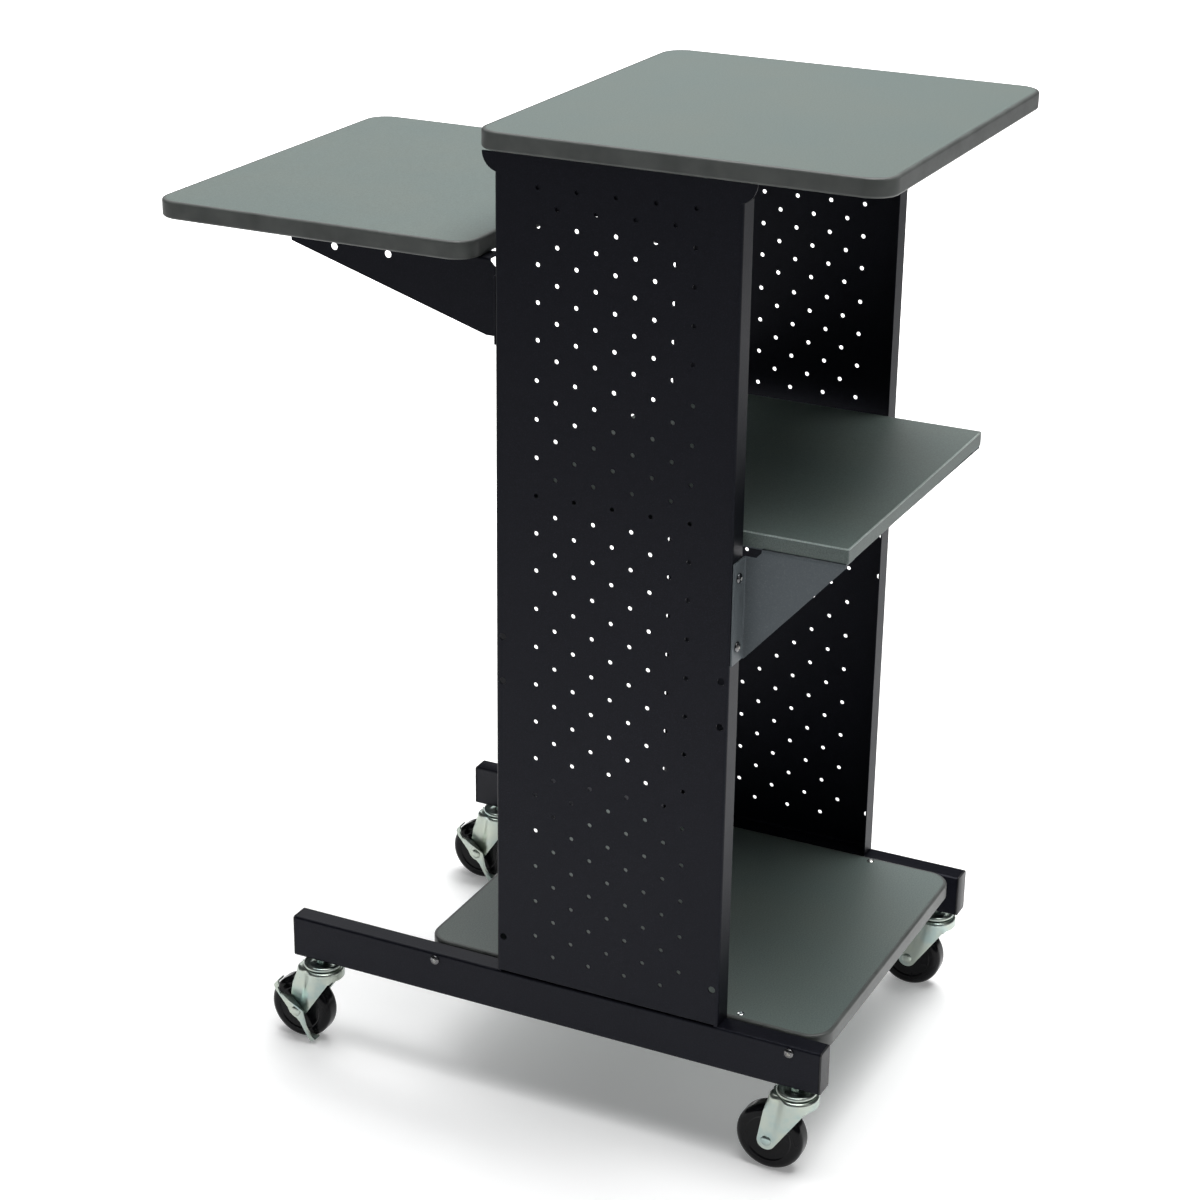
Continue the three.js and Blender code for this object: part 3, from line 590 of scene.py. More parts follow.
def zinc(name, colour, roughness=0.27):
    """Bright zinc plate with faint blue and straw tints and rolling marks."""
    finish = Finish(name, roughness, metallic=1.0)
    tints = finish.noise(38, 3)
    marks = finish.noise(260, 2, 0.6, (1.0, 1.0, 0.12))
    cool = (colour[0] * 0.84, colour[1] * 0.93, colour[2] * 0.98)
    warm = (colour[0] * 1.07, colour[1] * 1.04, colour[2] * 0.99)
    base = finish.ramp(tints, [(0.34, cool), (0.48, colour), (0.66, warm)])
    gloss = finish.span(marks, roughness - 0.06, roughness + 0.16)
    return finish.done(base, gloss, finish.bump(marks, 0.2, 0.04))


def moulded(name, colour, roughness=0.3, specular=0.4):
    """Smooth moulded plastic or hard rubber with a faint skin."""
    finish = Finish(name, roughness, specular=specular)
    skin = finish.noise(420, 3)
    patches = finish.noise(30, 2)
    base = finish.ramp(patches, [(0.3, shade(colour, 0.85)), (0.7, shade(colour, 1.2))])
    gloss = finish.span(skin, roughness - 0.06, roughness + 0.1)
    return finish.done(base, gloss, finish.bump(skin, 0.2, 0.03))


# Each coat is a CAD slot and the material that finishes it.
GREY = (0.115, 0.132, 0.141)
BLACK_PAINT = ("black_powder_coat", powder_coat("black_powder_coat_paint", (0.0036, 0.0038, 0.0066)))
GREY_PAINT = ("grey_powder_coat", powder_coat("grey_powder_coat_paint", GREY, specular=0.25, contrast=0.22))
GREY_LAMINATE = ("grey_laminate", laminate("grey_laminate_foil", (0.103, 0.131, 0.121)))
# A paler laminate for the strip along the middle shelf's top arris: a painted highlight.
ARRIS_HIGHLIGHT_LAMINATE = ("grey_laminate", laminate("painted_highlight_laminate", (0.34, 0.39, 0.37)))
ZINC = ("zinc_plate", zinc("zinc_plated_steel", (0.45, 0.505, 0.46)))
NICKEL = ("zinc_plate", zinc("bright_screw_steel", (0.8, 0.8, 0.78), 0.2))
# Bright steel for the middle of each screw head: a painted glint.
GLINT_STEEL = zinc("painted_glint_steel", (0.9, 0.9, 0.88), 0.5)
BLACK_OXIDE = ("black_screw", zinc("black_oxide_steel", (0.16, 0.16, 0.165), 0.17))
WHEEL_RUBBER = ("black_wheel", moulded("black_wheel_rubber", (0.004, 0.004, 0.005), 0.16, 0.15))
BAND_PLASTIC = ("grey_edge_band", moulded("grey_band_plastic", (0.086, 0.092, 0.088), 0.36, 0.3))
CAP_PLASTIC = ("black_plastic", moulded("black_cap_plastic", (0.016, 0.016, 0.018), 0.42))


# ---- side panels ----


def panel_holes(side, front, rear):
    """The perforations and the fixing holes, as clockwise loops in the panel's (y, z) plane."""
    middle = (front + rear) / 2
    loops = []
    row = 0
    z = HOLE_FIRST_ROW - HOLE_ZONES[side][0][1]
    for rows, row_step, column_step, shift in HOLE_ZONES[side]:
        for _ in range(rows):
            z += row_step
            reach = HOLE_REACHES[row % 2]
            for column in range(-reach, reach + 1, 2):
                centre = (middle + shift + column * column_step, z)
                loops.append(circle(centre, HOLE_RADIUS, HOLE_SIDES)[::-1])
            row += 1
    for z in FIXING_HOLE_HEIGHTS:
        for y in (front + FIXING_HOLE_INSET, rear - FIXING_HOLE_INSET):
            loops.append(circle((y, z), FIXING_HOLE_RADIUS, HOLE_SIDES)[::-1])
    return loops


def panel_outline(front, rear, bottom, top):
    """The web's flat outline in (y, z): it stops at the folds and has an ear at each top corner."""
    fold = PANEL_BEND + FOLD_STRIP
    foot = PANEL_BEND + PANEL_RELIEF
    lip_top = top - EAR_RADIUS
    ear_start = math.degrees(math.acos((EAR_RADIUS - EAR_REACH) / EAR_RADIUS))
    rear_ear = arc((rear + EAR_REACH - EAR_RADIUS, top), EAR_RADIUS, -ear_start, 0, 10)
    front_ear = [(front + rear - y, z) for y, z in reversed(rear_ear)]
    return [
        (front + fold, bottom),
        (front + foot, bottom),
        (front + foot, bottom + fold),
        (rear - foot, bottom + fold),
        (rear - foot, bottom),
        (rear - fold, bottom),
        (rear - fold, lip_top),
        (rear - PANEL_BEND, lip_top),
        *rear_ear,
        *front_ear,
        (front + PANEL_BEND, lip_top),
        (front + fold, lip_top),
    ]


def lip_section(outer, inner, edge, direction):
    """(x, place) points from the web round its fold to a lip's free edge; the lip lies at the edge."""
    fold = [
        (outer + PANEL_BEND + x, edge + direction * (place - PANEL_BEND))
        for x, place in arc((0, 0), PANEL_BEND, 180, 90, FOLD_STEPS)
    ]
    strip = PANEL_BEND + FOLD_STRIP
    return [(outer, edge - direction * strip), *fold, (outer + strip, edge), (inner, edge)]


def side_panel(side):
    """A folded sheet: perforated web, front and rear lips, a foot and an ear at each top corner."""
    low, high = box_mm("side_panel_left")
    _, lip_high = box_mm("panel_front_lip_left")
    front = low.y + EAR_REACH
    rear = high.y - EAR_REACH
    surface = Surface()
    loops = [panel_outline(front, rear, low.z, high.z), *panel_holes(side, front, rear)]
    surface.fill(*[surface.ring([(low.x, y, z) for y, z in loop]) for loop in loops])
    heights = (low.z, high.z - EAR_RADIUS)
    for edge, direction in ((front, -1), (rear, 1)):
        line = lip_section(low.x, lip_high.x, edge, direction)
        surface.rows([[(x, y, z) for x, y in line] for z in heights], closed=False)
    line = lip_section(low.x, lip_high.x, low.z, -1)
    foot = PANEL_BEND + PANEL_RELIEF
    surface.rows([[(x, y, z) for x, z in line] for y in (front + foot, rear - foot)], closed=False)
    panel = surface.object(f"{side}_perforated_panel", outwards=(-1, 0, 0))
    thicken(panel, PANEL_SHEET)
    round_edges(panel, CUT_EDGE)
    faces = [f"{face}_{side}" for face in ("side_panel", "panel_front_lip", "panel_rear_lip", "panel_foot")]
    put_on_side(panel, side, BLACK_PAINT, *faces)


# ---- base rails ----


def rail_outline():
    """The left rail's outline in (x, z)."""
    low, high = box_mm("base_rail_left")
    return rounded_rectangle(low.x, high.x, low.z, high.z, RAIL_CORNER, RAIL_CORNER_STEPS)


def base_rail(side):
    """A rectangular tube with rounded corners, open inside."""
    low, high = box_mm("base_rail_left")
    tube = rail_outline()
    bore = inset(tube, RAIL_WALL)
    edge = RAIL_CUT_EDGE
    section = [
        (low.y, inset(tube, edge)),
        (low.y + edge, tube),
        (high.y - edge, tube),
        (high.y, inset(tube, edge)),
        (high.y, inset(bore, -edge)),
        (high.y - edge, bore),
        (low.y + edge, bore),
        (low.y, inset(bore, -edge)),
    ]
    surface = Surface()
    surface.loop([[(x, y, z) for x, z in loop] for y, loop in section])
    rail = surface.object(f"{side}_rail_tube")
    round_edges(rail, 0)
    put_on_side(rail, side, BLACK_PAINT, f"base_rail_{side}")


def rail_cap(side, end):
    """A moulded plug: a cover with a softened rim over the tube's end, and a spigot in it."""
    low, high = box_mm(f"{end}_rail_cap_left")
    rail_low, rail_high = box_mm("base_rail_left")
    if end == "front":
        outside, tube_end, tip, way = low.y, rail_low.y, high.y, 1
    else:
        outside, tube_end, tip, way = high.y, rail_high.y, low.y, -1
    outline = rail_outline()
    spigot = inset(outline, RAIL_WALL + CAP_FIT)
    section = [(outside + way * depth, inset(outline, narrowing)) for depth, narrowing in CAP_RIM]
    section += [
        (tube_end - way * GAP, outline),
        (tube_end - way * GAP, spigot),
        (tip - way * CAP_TIP, spigot),
        (tip, inset(spigot, CAP_TIP)),
    ]
    surface = Surface()
    surface.capped([[(x, y, z) for x, z in loop] for y, loop in section])
    plug = surface.object(f"{end}_{side}_rail_plug")
    round_edges(plug, 0)
    put_on_side(plug, side, CAP_PLASTIC, f"{end}_rail_cap_{side}")


# ---- shelves ----


def banded_shelf(name):
    """A laminated board with round corners, and the rounded band around its edge."""
    low, high = box_mm(f"{name}_edge_band")
    outline = rounded_rectangle(low.x, high.x, low.y, high.y, SHELF_CORNER, SHELF_CORNER_STEPS)
    core = board(f"{name}_board", inset(outline, SHELF_BAND), low.z, high.z, SHELF_JOINT, 2)
    round_edges(core, 0)
    put_on(core, "frame", GREY_LAMINATE, name)
    section = [
        (SHELF_BAND, low.z + SHELF_JOINT),
        (SHELF_BAND - SHELF_JOINT, low.z),
        *rounded_edge(low.z, high.z, SHELF_EDGE, SHELF_EDGE_STEPS),
        (SHELF_BAND - SHELF_JOINT, high.z),
        (SHELF_BAND, high.z - SHELF_JOINT),
    ]
    band = hoop(f"{name}_band", outline, section)
    round_edges(band, 0)
    put_on(band, "frame", BAND_PLASTIC, f"{name}_edge_band")


def middle_shelf():
    """A plain board with square corners, and a paler strip around its top arris: a painted highlight."""
    low, high = box_mm("middle_shelf")
    outline = rounded_rectangle(low.x, high.x, low.y, high.y, MIDDLE_SHELF_CORNER, 3)
    edge = MIDDLE_SHELF_EDGE
    plank = board("middle_shelf_board", outline, low.z, high.z, edge, 3)
    round_edges(plank, 0)
    put_on(plank, "frame", GREY_LAMINATE, "middle_shelf")
    # A paler strip over the top arris, painted as a highlight.
    section = arc((edge, high.z - edge), edge + ARRIS_PROUD, 180, 90, 4)
    arris = hoop("middle_shelf_arris_highlight", outline, [*section, (edge, high.z - edge)])
    round_edges(arris, 0)
    put_on(arris, "frame", ARRIS_HIGHLIGHT_LAMINATE)


# ---- brackets ----


def folded_bracket(name, face, web, web_holes, top_flange, lip=None):
    """A plate in the plane x = face, with a flange folded inwards along its top and a lip folded outwards.

    web is the plate's outline in (y, z), which stops at the start of each fold. top_flange is the flange's
    height and the outline of its flat in (x, y). lip is the y of the lip's visible face, the direction of
    its fold, the x of its free edge, and its lowest and highest z.
    """
    surface = Surface()
    surface.fill(*[surface.ring([(face, y, z) for y, z in loop]) for loop in (web, *web_holes)])
    seat, flat = top_flange
    bend = BRACKET_OUTER_BEND
    fold = [(face + bend + x, seat - bend + z) for x, z in arc((0, 0), bend, 180, 90, FOLD_STEPS)]
    surface.rows([[(x, y, z) for x, z in fold] for y in (flat[0][1], flat[1][1])], closed=False)
    surface.fill(surface.ring([(x, y, seat) for x, y in flat]))
    if lip:
        lip_y, direction, edge, lip_low, lip_high = lip
        fold = [
            (face - BRACKET_BEND + x, lip_y + direction * (y - BRACKET_BEND))
            for x, y in arc((0, 0), BRACKET_BEND, 0, 90, FOLD_STEPS)
        ]
        line = [*fold, (edge, lip_y)]
        surface.rows([[(x, y, z) for x, y in line] for z in (lip_low, lip_high)], closed=False)
    bracket = surface.object(name, outwards=(-1, 0, 0))
    thicken(bracket, BRACKET_SHEET)
    return round_edges(bracket, CUT_EDGE)


def gusset_start(root, way):
    """Along Y from a gusset's root at the panel: the lip's face, the web's start and the relief's end."""
    lip_y = root + way * BRACKET_SHEET
    return lip_y, lip_y + way * BRACKET_BEND, root + way * RELIEF_LENGTH


def middle_bracket(side):
    """The grey gusset under the middle shelf, which reaches towards the reader."""
    low, high = box_mm("middle_bracket_left")
    panel_low, _ = box_mm("side_panel_left")
    face = high.x - BRACKET_FLANGE
    seat = high.z
    nose = low.y
    lip_y, back, relief_end = gusset_start(panel_low.y + EAR_REACH - GAP, -1)
    shoulder = seat - BRACKET_OUTER_BEND
    lip_high = seat - RELIEF_HEIGHT
    web = [
        (back, low.z),
        (back, lip_high),
        (relief_end + RELIEF_SLOPE, lip_high),
        (relief_end, shoulder),
        (nose, shoulder),
        (nose, shoulder - CUT_EDGE),
        (back - CUT_EDGE, low.z),
    ]
    inward = face + BRACKET_OUTER_BEND
    flat = [
        (inward, nose),
        (inward, relief_end),
        (inward + RELIEF_CLEARANCE, relief_end + RELIEF_CLEARANCE),
        (inward + RELIEF_CLEARANCE, high.y),
        (high.x, high.y),
        (high.x, nose),
    ]
    lip = (lip_y, 1, low.x, low.z, lip_high)
    bracket = folded_bracket(f"middle_gusset_{side}", face, web, [], (seat, flat), lip)
    put_on_side(bracket, side, GREY_PAINT, f"middle_bracket_{side}")


def side_bracket(side):
    """The black gusset under the side shelf, with two round holes."""
    low, high = box_mm("side_bracket_left")
    face = high.x - BRACKET_FLANGE
    seat = high.z
    lip_y, back, relief_end = gusset_start(low.y, 1)
    shoulder = seat - BRACKET_OUTER_BEND
    lip_high = seat - RELIEF_HEIGHT
    web = [
        (back, low.z),
        (low.y + SIDE_BRACKET_FOOT, low.z),
        (high.y, seat - SIDE_BRACKET_NOSE),
        (high.y, shoulder),
        (relief_end, shoulder),
        (relief_end - RELIEF_SLOPE, lip_high),
        (back, lip_high),
    ]
    hole_z = seat - SIDE_BRACKET_HOLE_DROP
    holes = [
        circle((y, hole_z), SIDE_BRACKET_HOLE_RADIUS, SIDE_BRACKET_HOLE_SIDES)[::-1]
        for y in SIDE_BRACKET_HOLES
    ]
    inward = face + BRACKET_OUTER_BEND
    flat = [(inward, relief_end), (inward, high.y), (high.x, high.y), (high.x, relief_end)]
    lip = (lip_y, -1, low.x, low.z, lip_high)
    bracket = folded_bracket(f"side_gusset_{side}", face, web, holes, (seat, flat), lip)
    put_on_side(bracket, side, BLACK_PAINT, f"side_bracket_{side}")


def angle_bracket(name, node, side, chamfer=None):
    """A plain angle: an upright plate with its top folded inwards, and a chamfered rear corner if asked."""
    low, high = box_mm(f"{node}_left")
    shoulder = high.z - BRACKET_OUTER_BEND
    corner = [(high.y, low.z)]
    if chamfer:
        corner = [(high.y - chamfer[0], low.z), (high.y, low.z + chamfer[1])]
    web = [(low.y, low.z), *corner, (high.y, shoulder), (low.y, shoulder)]
    inward = low.x + BRACKET_OUTER_BEND
    flat = [(inward, low.y), (inward, high.y), (high.x, high.y), (high.x, low.y)]
    bracket = folded_bracket(name, low.x, web, [], (high.z, flat))
    put_on_side(bracket, side, BLACK_PAINT, f"{node}_{side}")


# ---- screws ----


def screw_shape(name, radius, height, shank, length, recess):
    """A domed screw along +Z with its seat at z = 0 and a tapered cross in its head."""
    turns = [math.radians(10 * i) for i in range(10)]
    dome = [(radius * math.cos(t), SCREW_RIM + (height - SCREW_RIM) * math.sin(t)) for t in turns]
    point = [(0, -length), (shank * 0.7, -length), (shank, -length + 1.5)]
    screw = turned(name, [*point, (shank, 0), (radius * 0.97, 0), *dome], SCREW_SIDES)
    half = recess * 0.22
    arm = [(recess, -half), (recess, half), (half, half)]
    cross = [turn_quarter(corner, quarter) for quarter in range(4) for corner in arm]
    surface = Surface()
    bed = [(x * 0.55, y * 0.55, height * 0.25) for x, y in cross]
    mouth = [(x * 1.1, y * 1.1, height + 1) for x, y in cross]
    surface.capped([bed, mouth])
    cut(screw, surface.object(f"{name}_recess"))
    return round_edges(screw, 0)


def turn_quarter(point, quarters):
    """A point turned about the origin by so many quarters of a turn."""
    x, y = point
    for _ in range(quarters):
        x, y = -y, x
    return x, y


def along(direction):
    """Turns +Z to a direction."""
    return Vector((0, 0, 1)).rotation_difference(Vector(direction)).to_matrix().to_4x4()


def place_screw(shape, name, seat, direction, coat, *nodes):
    """Places a copy of a screw; the middle of its head is bright steel, a painted glint."""
    glint_faces = [face.index for face in shape.data.polygons if in_painted_glint(face)]
    matrix = Matrix.Translation(Vector(seat) * MM) @ along(direction)
    screw = copied(shape, name, matrix)
    put_on(screw, "frame", coat, *nodes)
    screw.data.materials.append(GLINT_STEEL)
    for index in glint_faces:
        screw.data.polygons[index].material_index = 1


def in_painted_glint(face):
    """Whether a screw's face lies in the middle of its head, where the glint is painted."""
    return face.center.z > 0 and math.hypot(face.center.x, face.center.y) < SCREW_GLINT_RADIUS * MM


def screws():
    """Truss-head screws through the brackets' lips, through the rails and down into the bottom shelf."""
    lip_screw = screw_shape("lip_screw_shape", *LIP_SCREW)
    rail_screw = screw_shape("rail_screw_shape", *RAIL_SCREW)
    shelf_screw = screw_shape("shelf_screw_shape", *SHELF_SCREW)
    for side, sign in SIDES.items():
        kinds = (
            ("middle_bracket_screw", lip_screw, Vector((0, -1, 0))),
            ("side_bracket_screw", lip_screw, Vector((0, 1, 0))),
            ("rail_screw", rail_screw, Vector((sign, 0, 0))),
        )
        for kind, shape, outwards in kinds:
            for number in (1, 2):
                node = f"{kind}_{side}_{number}"
                low, high = box_mm(node)
                reach = abs((high - low).dot(outwards)) / 2 - SCREW_HEAD_HEIGHT
                seat = (low + high) / 2 + outwards * reach
                head = f"{kind}_head_{side}_{number}"
                place_screw(shape, head, seat, outwards, BLACK_OXIDE, node)
    _, high = box_mm("bottom_shelf_edge_band")
    for side, sign in SIDES.items():
        for number, y in enumerate(SHELF_SCREW_Y, 1):
            seat = (sign * (high.x - SHELF_SCREW_INSET), y, high.z)
            head = f"shelf_screw_{side}_{number}"
            place_screw(shelf_screw, head, seat, (0, 0, 1), NICKEL)
    for shape in (lip_screw, rail_screw, shelf_screw):
        bpy.data.objects.remove(shape)


# ---- casters ----
# Each caster is drawn about its own swivel axis, x = y = 0, with the wheel trailing towards +Y.


def smooth_step(t):
    """0 below 0 and 1 above 1, with a smooth rise between them."""
    t = min(max(t, 0.0), 1.0)
    return t * t * (3 - 2 * t)


def crown_half_width(y, leg_face):
    """Half the fork's width at its shoulder: the crown's circle in front, the flat legs behind."""
    start, length = FORK_CROWN_TAPER
    circle_part = math.sqrt(max(FORK_CROWN_RADIUS**2 - y * y, 0))
    return leg_face + (max(circle_part, leg_face) - leg_face) * (1 - smooth_step((y - start) / length))


def crown_tuck(y):
    """How far the shoulder is drawn inwards, where the crown's rear corner is rounded."""
    into_corner = max(y - FORK_REAR + FORK_CROWN_CORNER, 0)
    return FORK_CROWN_CORNER - math.sqrt(max(FORK_CROWN_CORNER**2 - into_corner**2, 0))


def fork_columns(top, axle_z):
    """Columns down the fork's left half, from the leg's rear edge to the crown's front centre.

    Each is (shoulder point, inward direction, shoulder radius, point on the lower edge, tuck).
    """
    leg_face = FORK_INSIDE + FORK_SHEET
    front_corner = Vector((FORK_FRONT[0], top - FORK_FRONT[1]))
    foot = arc((TRAIL, axle_z), FORK_FOOT_RADIUS, *FORK_FOOT_TURN, 10)
    slant = [tuple(Vector(foot[-1]).lerp(front_corner, i / 8)) for i in range(1, 9)]
    lower = foot + slant
    columns = []
    for i, (y_low, z_low) in enumerate(lower):
        share = (i / (len(lower) - 1)) ** 1.4
        y_top = FORK_REAR + (front_corner.x - FORK_REAR) * share
        half = crown_half_width(y_top, leg_face)
        tuck = crown_tuck(y_top)
        radial = Vector((half, -y_top)).normalized()
        inward = Vector((1, 0)).lerp(radial, smooth_step((12 - y_top) / 14)).normalized()
        corner_turn = Vector((0, -FORK_CORNER_TURN * tuck / FORK_CROWN_CORNER))
        inward = (inward + corner_turn).normalized()
        bend = FORK_SHOULDER + FORK_SHOULDER_GROWTH * smooth_step((y_top - 6) / 16)
        columns.append(((-half, y_top), inward, bend, (-leg_face, y_low, z_low), tuck))
    start = math.degrees(math.atan2(front_corner.x, -crown_half_width(front_corner.x, leg_face)))
    skirt = top - FORK_SKIRT
    steps = 9
    for i in range(1, steps + 1):
        angle = math.radians(start + (-90 - start) * i / steps)
        point = Vector((math.cos(angle), math.sin(angle))) * FORK_CROWN_RADIUS
        low = skirt + (front_corner.y - skirt) * (1 - smooth_step(i / 3))
        columns.append(((point.x, point.y), -point.normalized(), FORK_SHOULDER, (point.x, point.y, low), 0))
    return columns


def caster_fork(name, top, axle_z):
    """A pressed fork: a crown that runs from its round front back over the wheel, and two tapering legs."""
    left = fork_columns(top, axle_z)
    mirror = [
        ((-p[0], p[1]), Vector((-n.x, n.y)), b, (-q[0], q[1], q[2]), -tuck) for p, n, b, q, tuck in left
    ]
    columns = left + mirror[-2::-1]
    rows = []
    for turn in range(FOLD_STEPS + 1):
        angle = math.radians(90 - 90 * turn / FOLD_STEPS)
        row = []
        for point, inward, bend, _, tuck in columns:
            flat = Vector(point) + Vector((tuck, 0)) + inward * bend * (1 - math.cos(angle))
            row.append((flat.x, flat.y, top - bend * (1 - math.sin(angle))))
        rows.append(row)
    drops = 14
    for step in range(1, drops + 1):
        share = step / drops
        row = []
        for point, _, bend, low, tuck in columns:
            place = Vector((*point, top - bend)).lerp(Vector(low), share)
            place.x += tuck * (1 - smooth_step(share * 3))
            row.append(tuple(place))
        rows.append(row)
    surface = Surface()
    crown, _ = surface.rows(rows, closed=False)
    left_end = Vector(rows[0][0])
    right_end = Vector(rows[0][-1])
    back_edge = []
    for i in range(1, 8):
        place = right_end.lerp(left_end, i / 8)
        back_edge.append((place.x, place.y + FORK_BACK_SWEEP * math.sin(math.pi * i / 8), top))
    surface.fill(crown + surface.ring(back_edge))
    fork = surface.object(name, outwards=(0, 0, 1))
    thicken(fork, FORK_SHEET)
    return round_edges(fork, FORK_CUT_EDGE)


def caster_race(name, low):
    """The upper race: a dished cup with a rolled rim and a raised middle."""
    rim_radius, rim_height, rim_rounding = RACE_RIM
    dish_radius, dish_height, dish_rounding = RACE_DISH
    profile = [
        (0, low),
        (RACE_RADIUS, low),
        *arc((rim_radius, low + rim_height), rim_rounding, -90, 118, 10),
        *arc((dish_radius, low + dish_height), dish_rounding, -38, -110, 5),
        *[(radius, low + height) for radius, height in RACE_MIDDLE],
    ]
    return round_edges(turned(name, profile, RACE_SIDES), 0)


def hexagon(limit, z):
    """A ring around the stem's hexagon at a height, with its corners cut off at a radius."""
    across = HEX_CORNER * math.cos(math.pi / 6)
    ring = []
    for i in range(STEM_SIDES):
        angle = 2 * math.pi * i / STEM_SIDES
        turn = (angle + math.pi / 6) % (math.pi / 3) - math.pi / 6
        radius = min(across / math.cos(turn), limit)
        ring.append((radius * math.cos(angle), radius * math.sin(angle), z))
    return ring


def caster_stem(name, low, high, stem_top):
    """A hexagonal shoulder with chamfered corners, and the threaded stem inside the rail."""
    across = HEX_CORNER * math.cos(math.pi / 6)
    halfway, half_depth, depth = HEX_CHAMFER
    chamfer = ((across, 0), (halfway, half_depth), (HEX_CORNER, depth))
    rows = [hexagon(limit, low + deep) for limit, deep in chamfer]
    rows += [hexagon(limit, high - deep) for limit, deep in reversed(chamfer)]
    neck, run_in = STEM_NECK
    point, run_out = STEM_POINT
    thread = [(neck, high)]
    z = high + run_in
    while z < stem_top - run_out:
        thread += [(THREAD_CREST, z), (THREAD_ROOT, z + THREAD_PITCH / 2)]
        z += THREAD_PITCH
    thread.append((point, stem_top))
    rows += [[(x, y, z) for x, y in circle((0, 0), radius, STEM_SIDES)] for radius, z in thread]
    surface = Surface()
    surface.capped(rows)
    return round_edges(surface.object(name), 0)


def caster_wheel(name, radius, width):
    """A hard wheel: crowned tread, raised rims, a sunk web with a step, and a hub on a bore."""
    half = width / 2
    rounding = half - TREAD_ROUNDING
    face = [(r, half - depth) for r, depth in WHEEL_FACE]
    face += arc((radius - TREAD_ROUNDING, rounding - RIM_DEPTH), TREAD_ROUNDING, 90, 6, 9)
    other = [(r, -x) for r, x in reversed(face)]
    flat = rounding - TREAD_CROWN
    profile = [*face, (radius, flat), (radius, -flat), *other]
    return round_edges(turned(name, profile, WHEEL_SIDES, axis="x"), 0)


def caster_axle(name, left, right):
    """A pin through the wheel, with a domed head on the left and riveted over on the right."""
    turns = [math.radians(angle) for angle in DOME_ANGLES]
    head, head_dome = PIN_HEAD
    rivet, rivet_dome = RIVET_HEAD
    profile = [
        (0, -left),
        *[(head * math.sin(t), head_dome * (1 - math.cos(t)) - left) for t in turns],
        (head, head_dome - left),
        (PIN_RADIUS, head_dome + PIN_STEP - left),
        (PIN_RADIUS, right - RIVET_SEAT - PIN_STEP),
        (rivet, right - RIVET_SEAT),
        *[(rivet * math.sin(t), right - rivet_dome * (1 - math.cos(t))) for t in reversed(turns)],
        (0, right),
    ]
    return round_edges(turned(name, profile, PIN_SIDES, axis="x"), 0)


def brake_lever(name, plate_x, axle_z):
    """A pressed rocking lever: a flat plate with two arms, a foot pedal folded outwards along its front
    edge, and at each tip a tab folded inwards over the tread."""
    surface = Surface()

    def place(point, x=0.0):
        """A (y, z) point about the axle, so far inwards of the plate."""
        return (plate_x + x, TRAIL + point[0], axle_z + point[1])

    outline = LEVER_FRONT + LEVER_LOWER_TIP + LEVER_REAR + LEVER_UPPER_TIP
    surface.fill(surface.ring([place(p) for p in outline]))
    pedal_edge = [place((y, z), -reach) for y, z, reach in LEVER_PEDAL]
    surface.rows([[place(p) for p in LEVER_FRONT], pedal_edge], closed=False)
    for start, end in (LEVER_LOWER_TIP, LEVER_UPPER_TIP):
        middle = (Vector(start) + Vector(end)) / 2
        half = (Vector(end) - Vector(start)) / 2
        tab = [[place(middle + half * share * t, reach) for t in (-1, 1)] for reach, share in LEVER_TAB]
        surface.rows(tab, closed=False)
    lever = surface.object(name, outwards=(-1, 0, 0))
    bend_folds(lever, plate_x * MM)
    thicken(lever, LEVER_SHEET)
    return round_edges(lever, LEVER_CUT_EDGE)


def bend_folds(lever, plate_x):
    """Rounds the sharp folds that lie in the lever's plate."""
    bm = bmesh.new()
    bm.from_mesh(lever.data)
    folds = [
        edge for edge in bm.edges
        if len(edge.link_faces) == 2
        and edge.calc_face_angle() > math.radians(25)
        and all(abs(v.co.x - plate_x) < 1e-6 for v in edge.verts)
    ]
    bmesh.ops.bevel(bm, geom=folds, offset=LEVER_BEND * MM, segments=3, affect="EDGES", profile=0.5)
    bm.to_mesh(lever.data)
    bm.free()


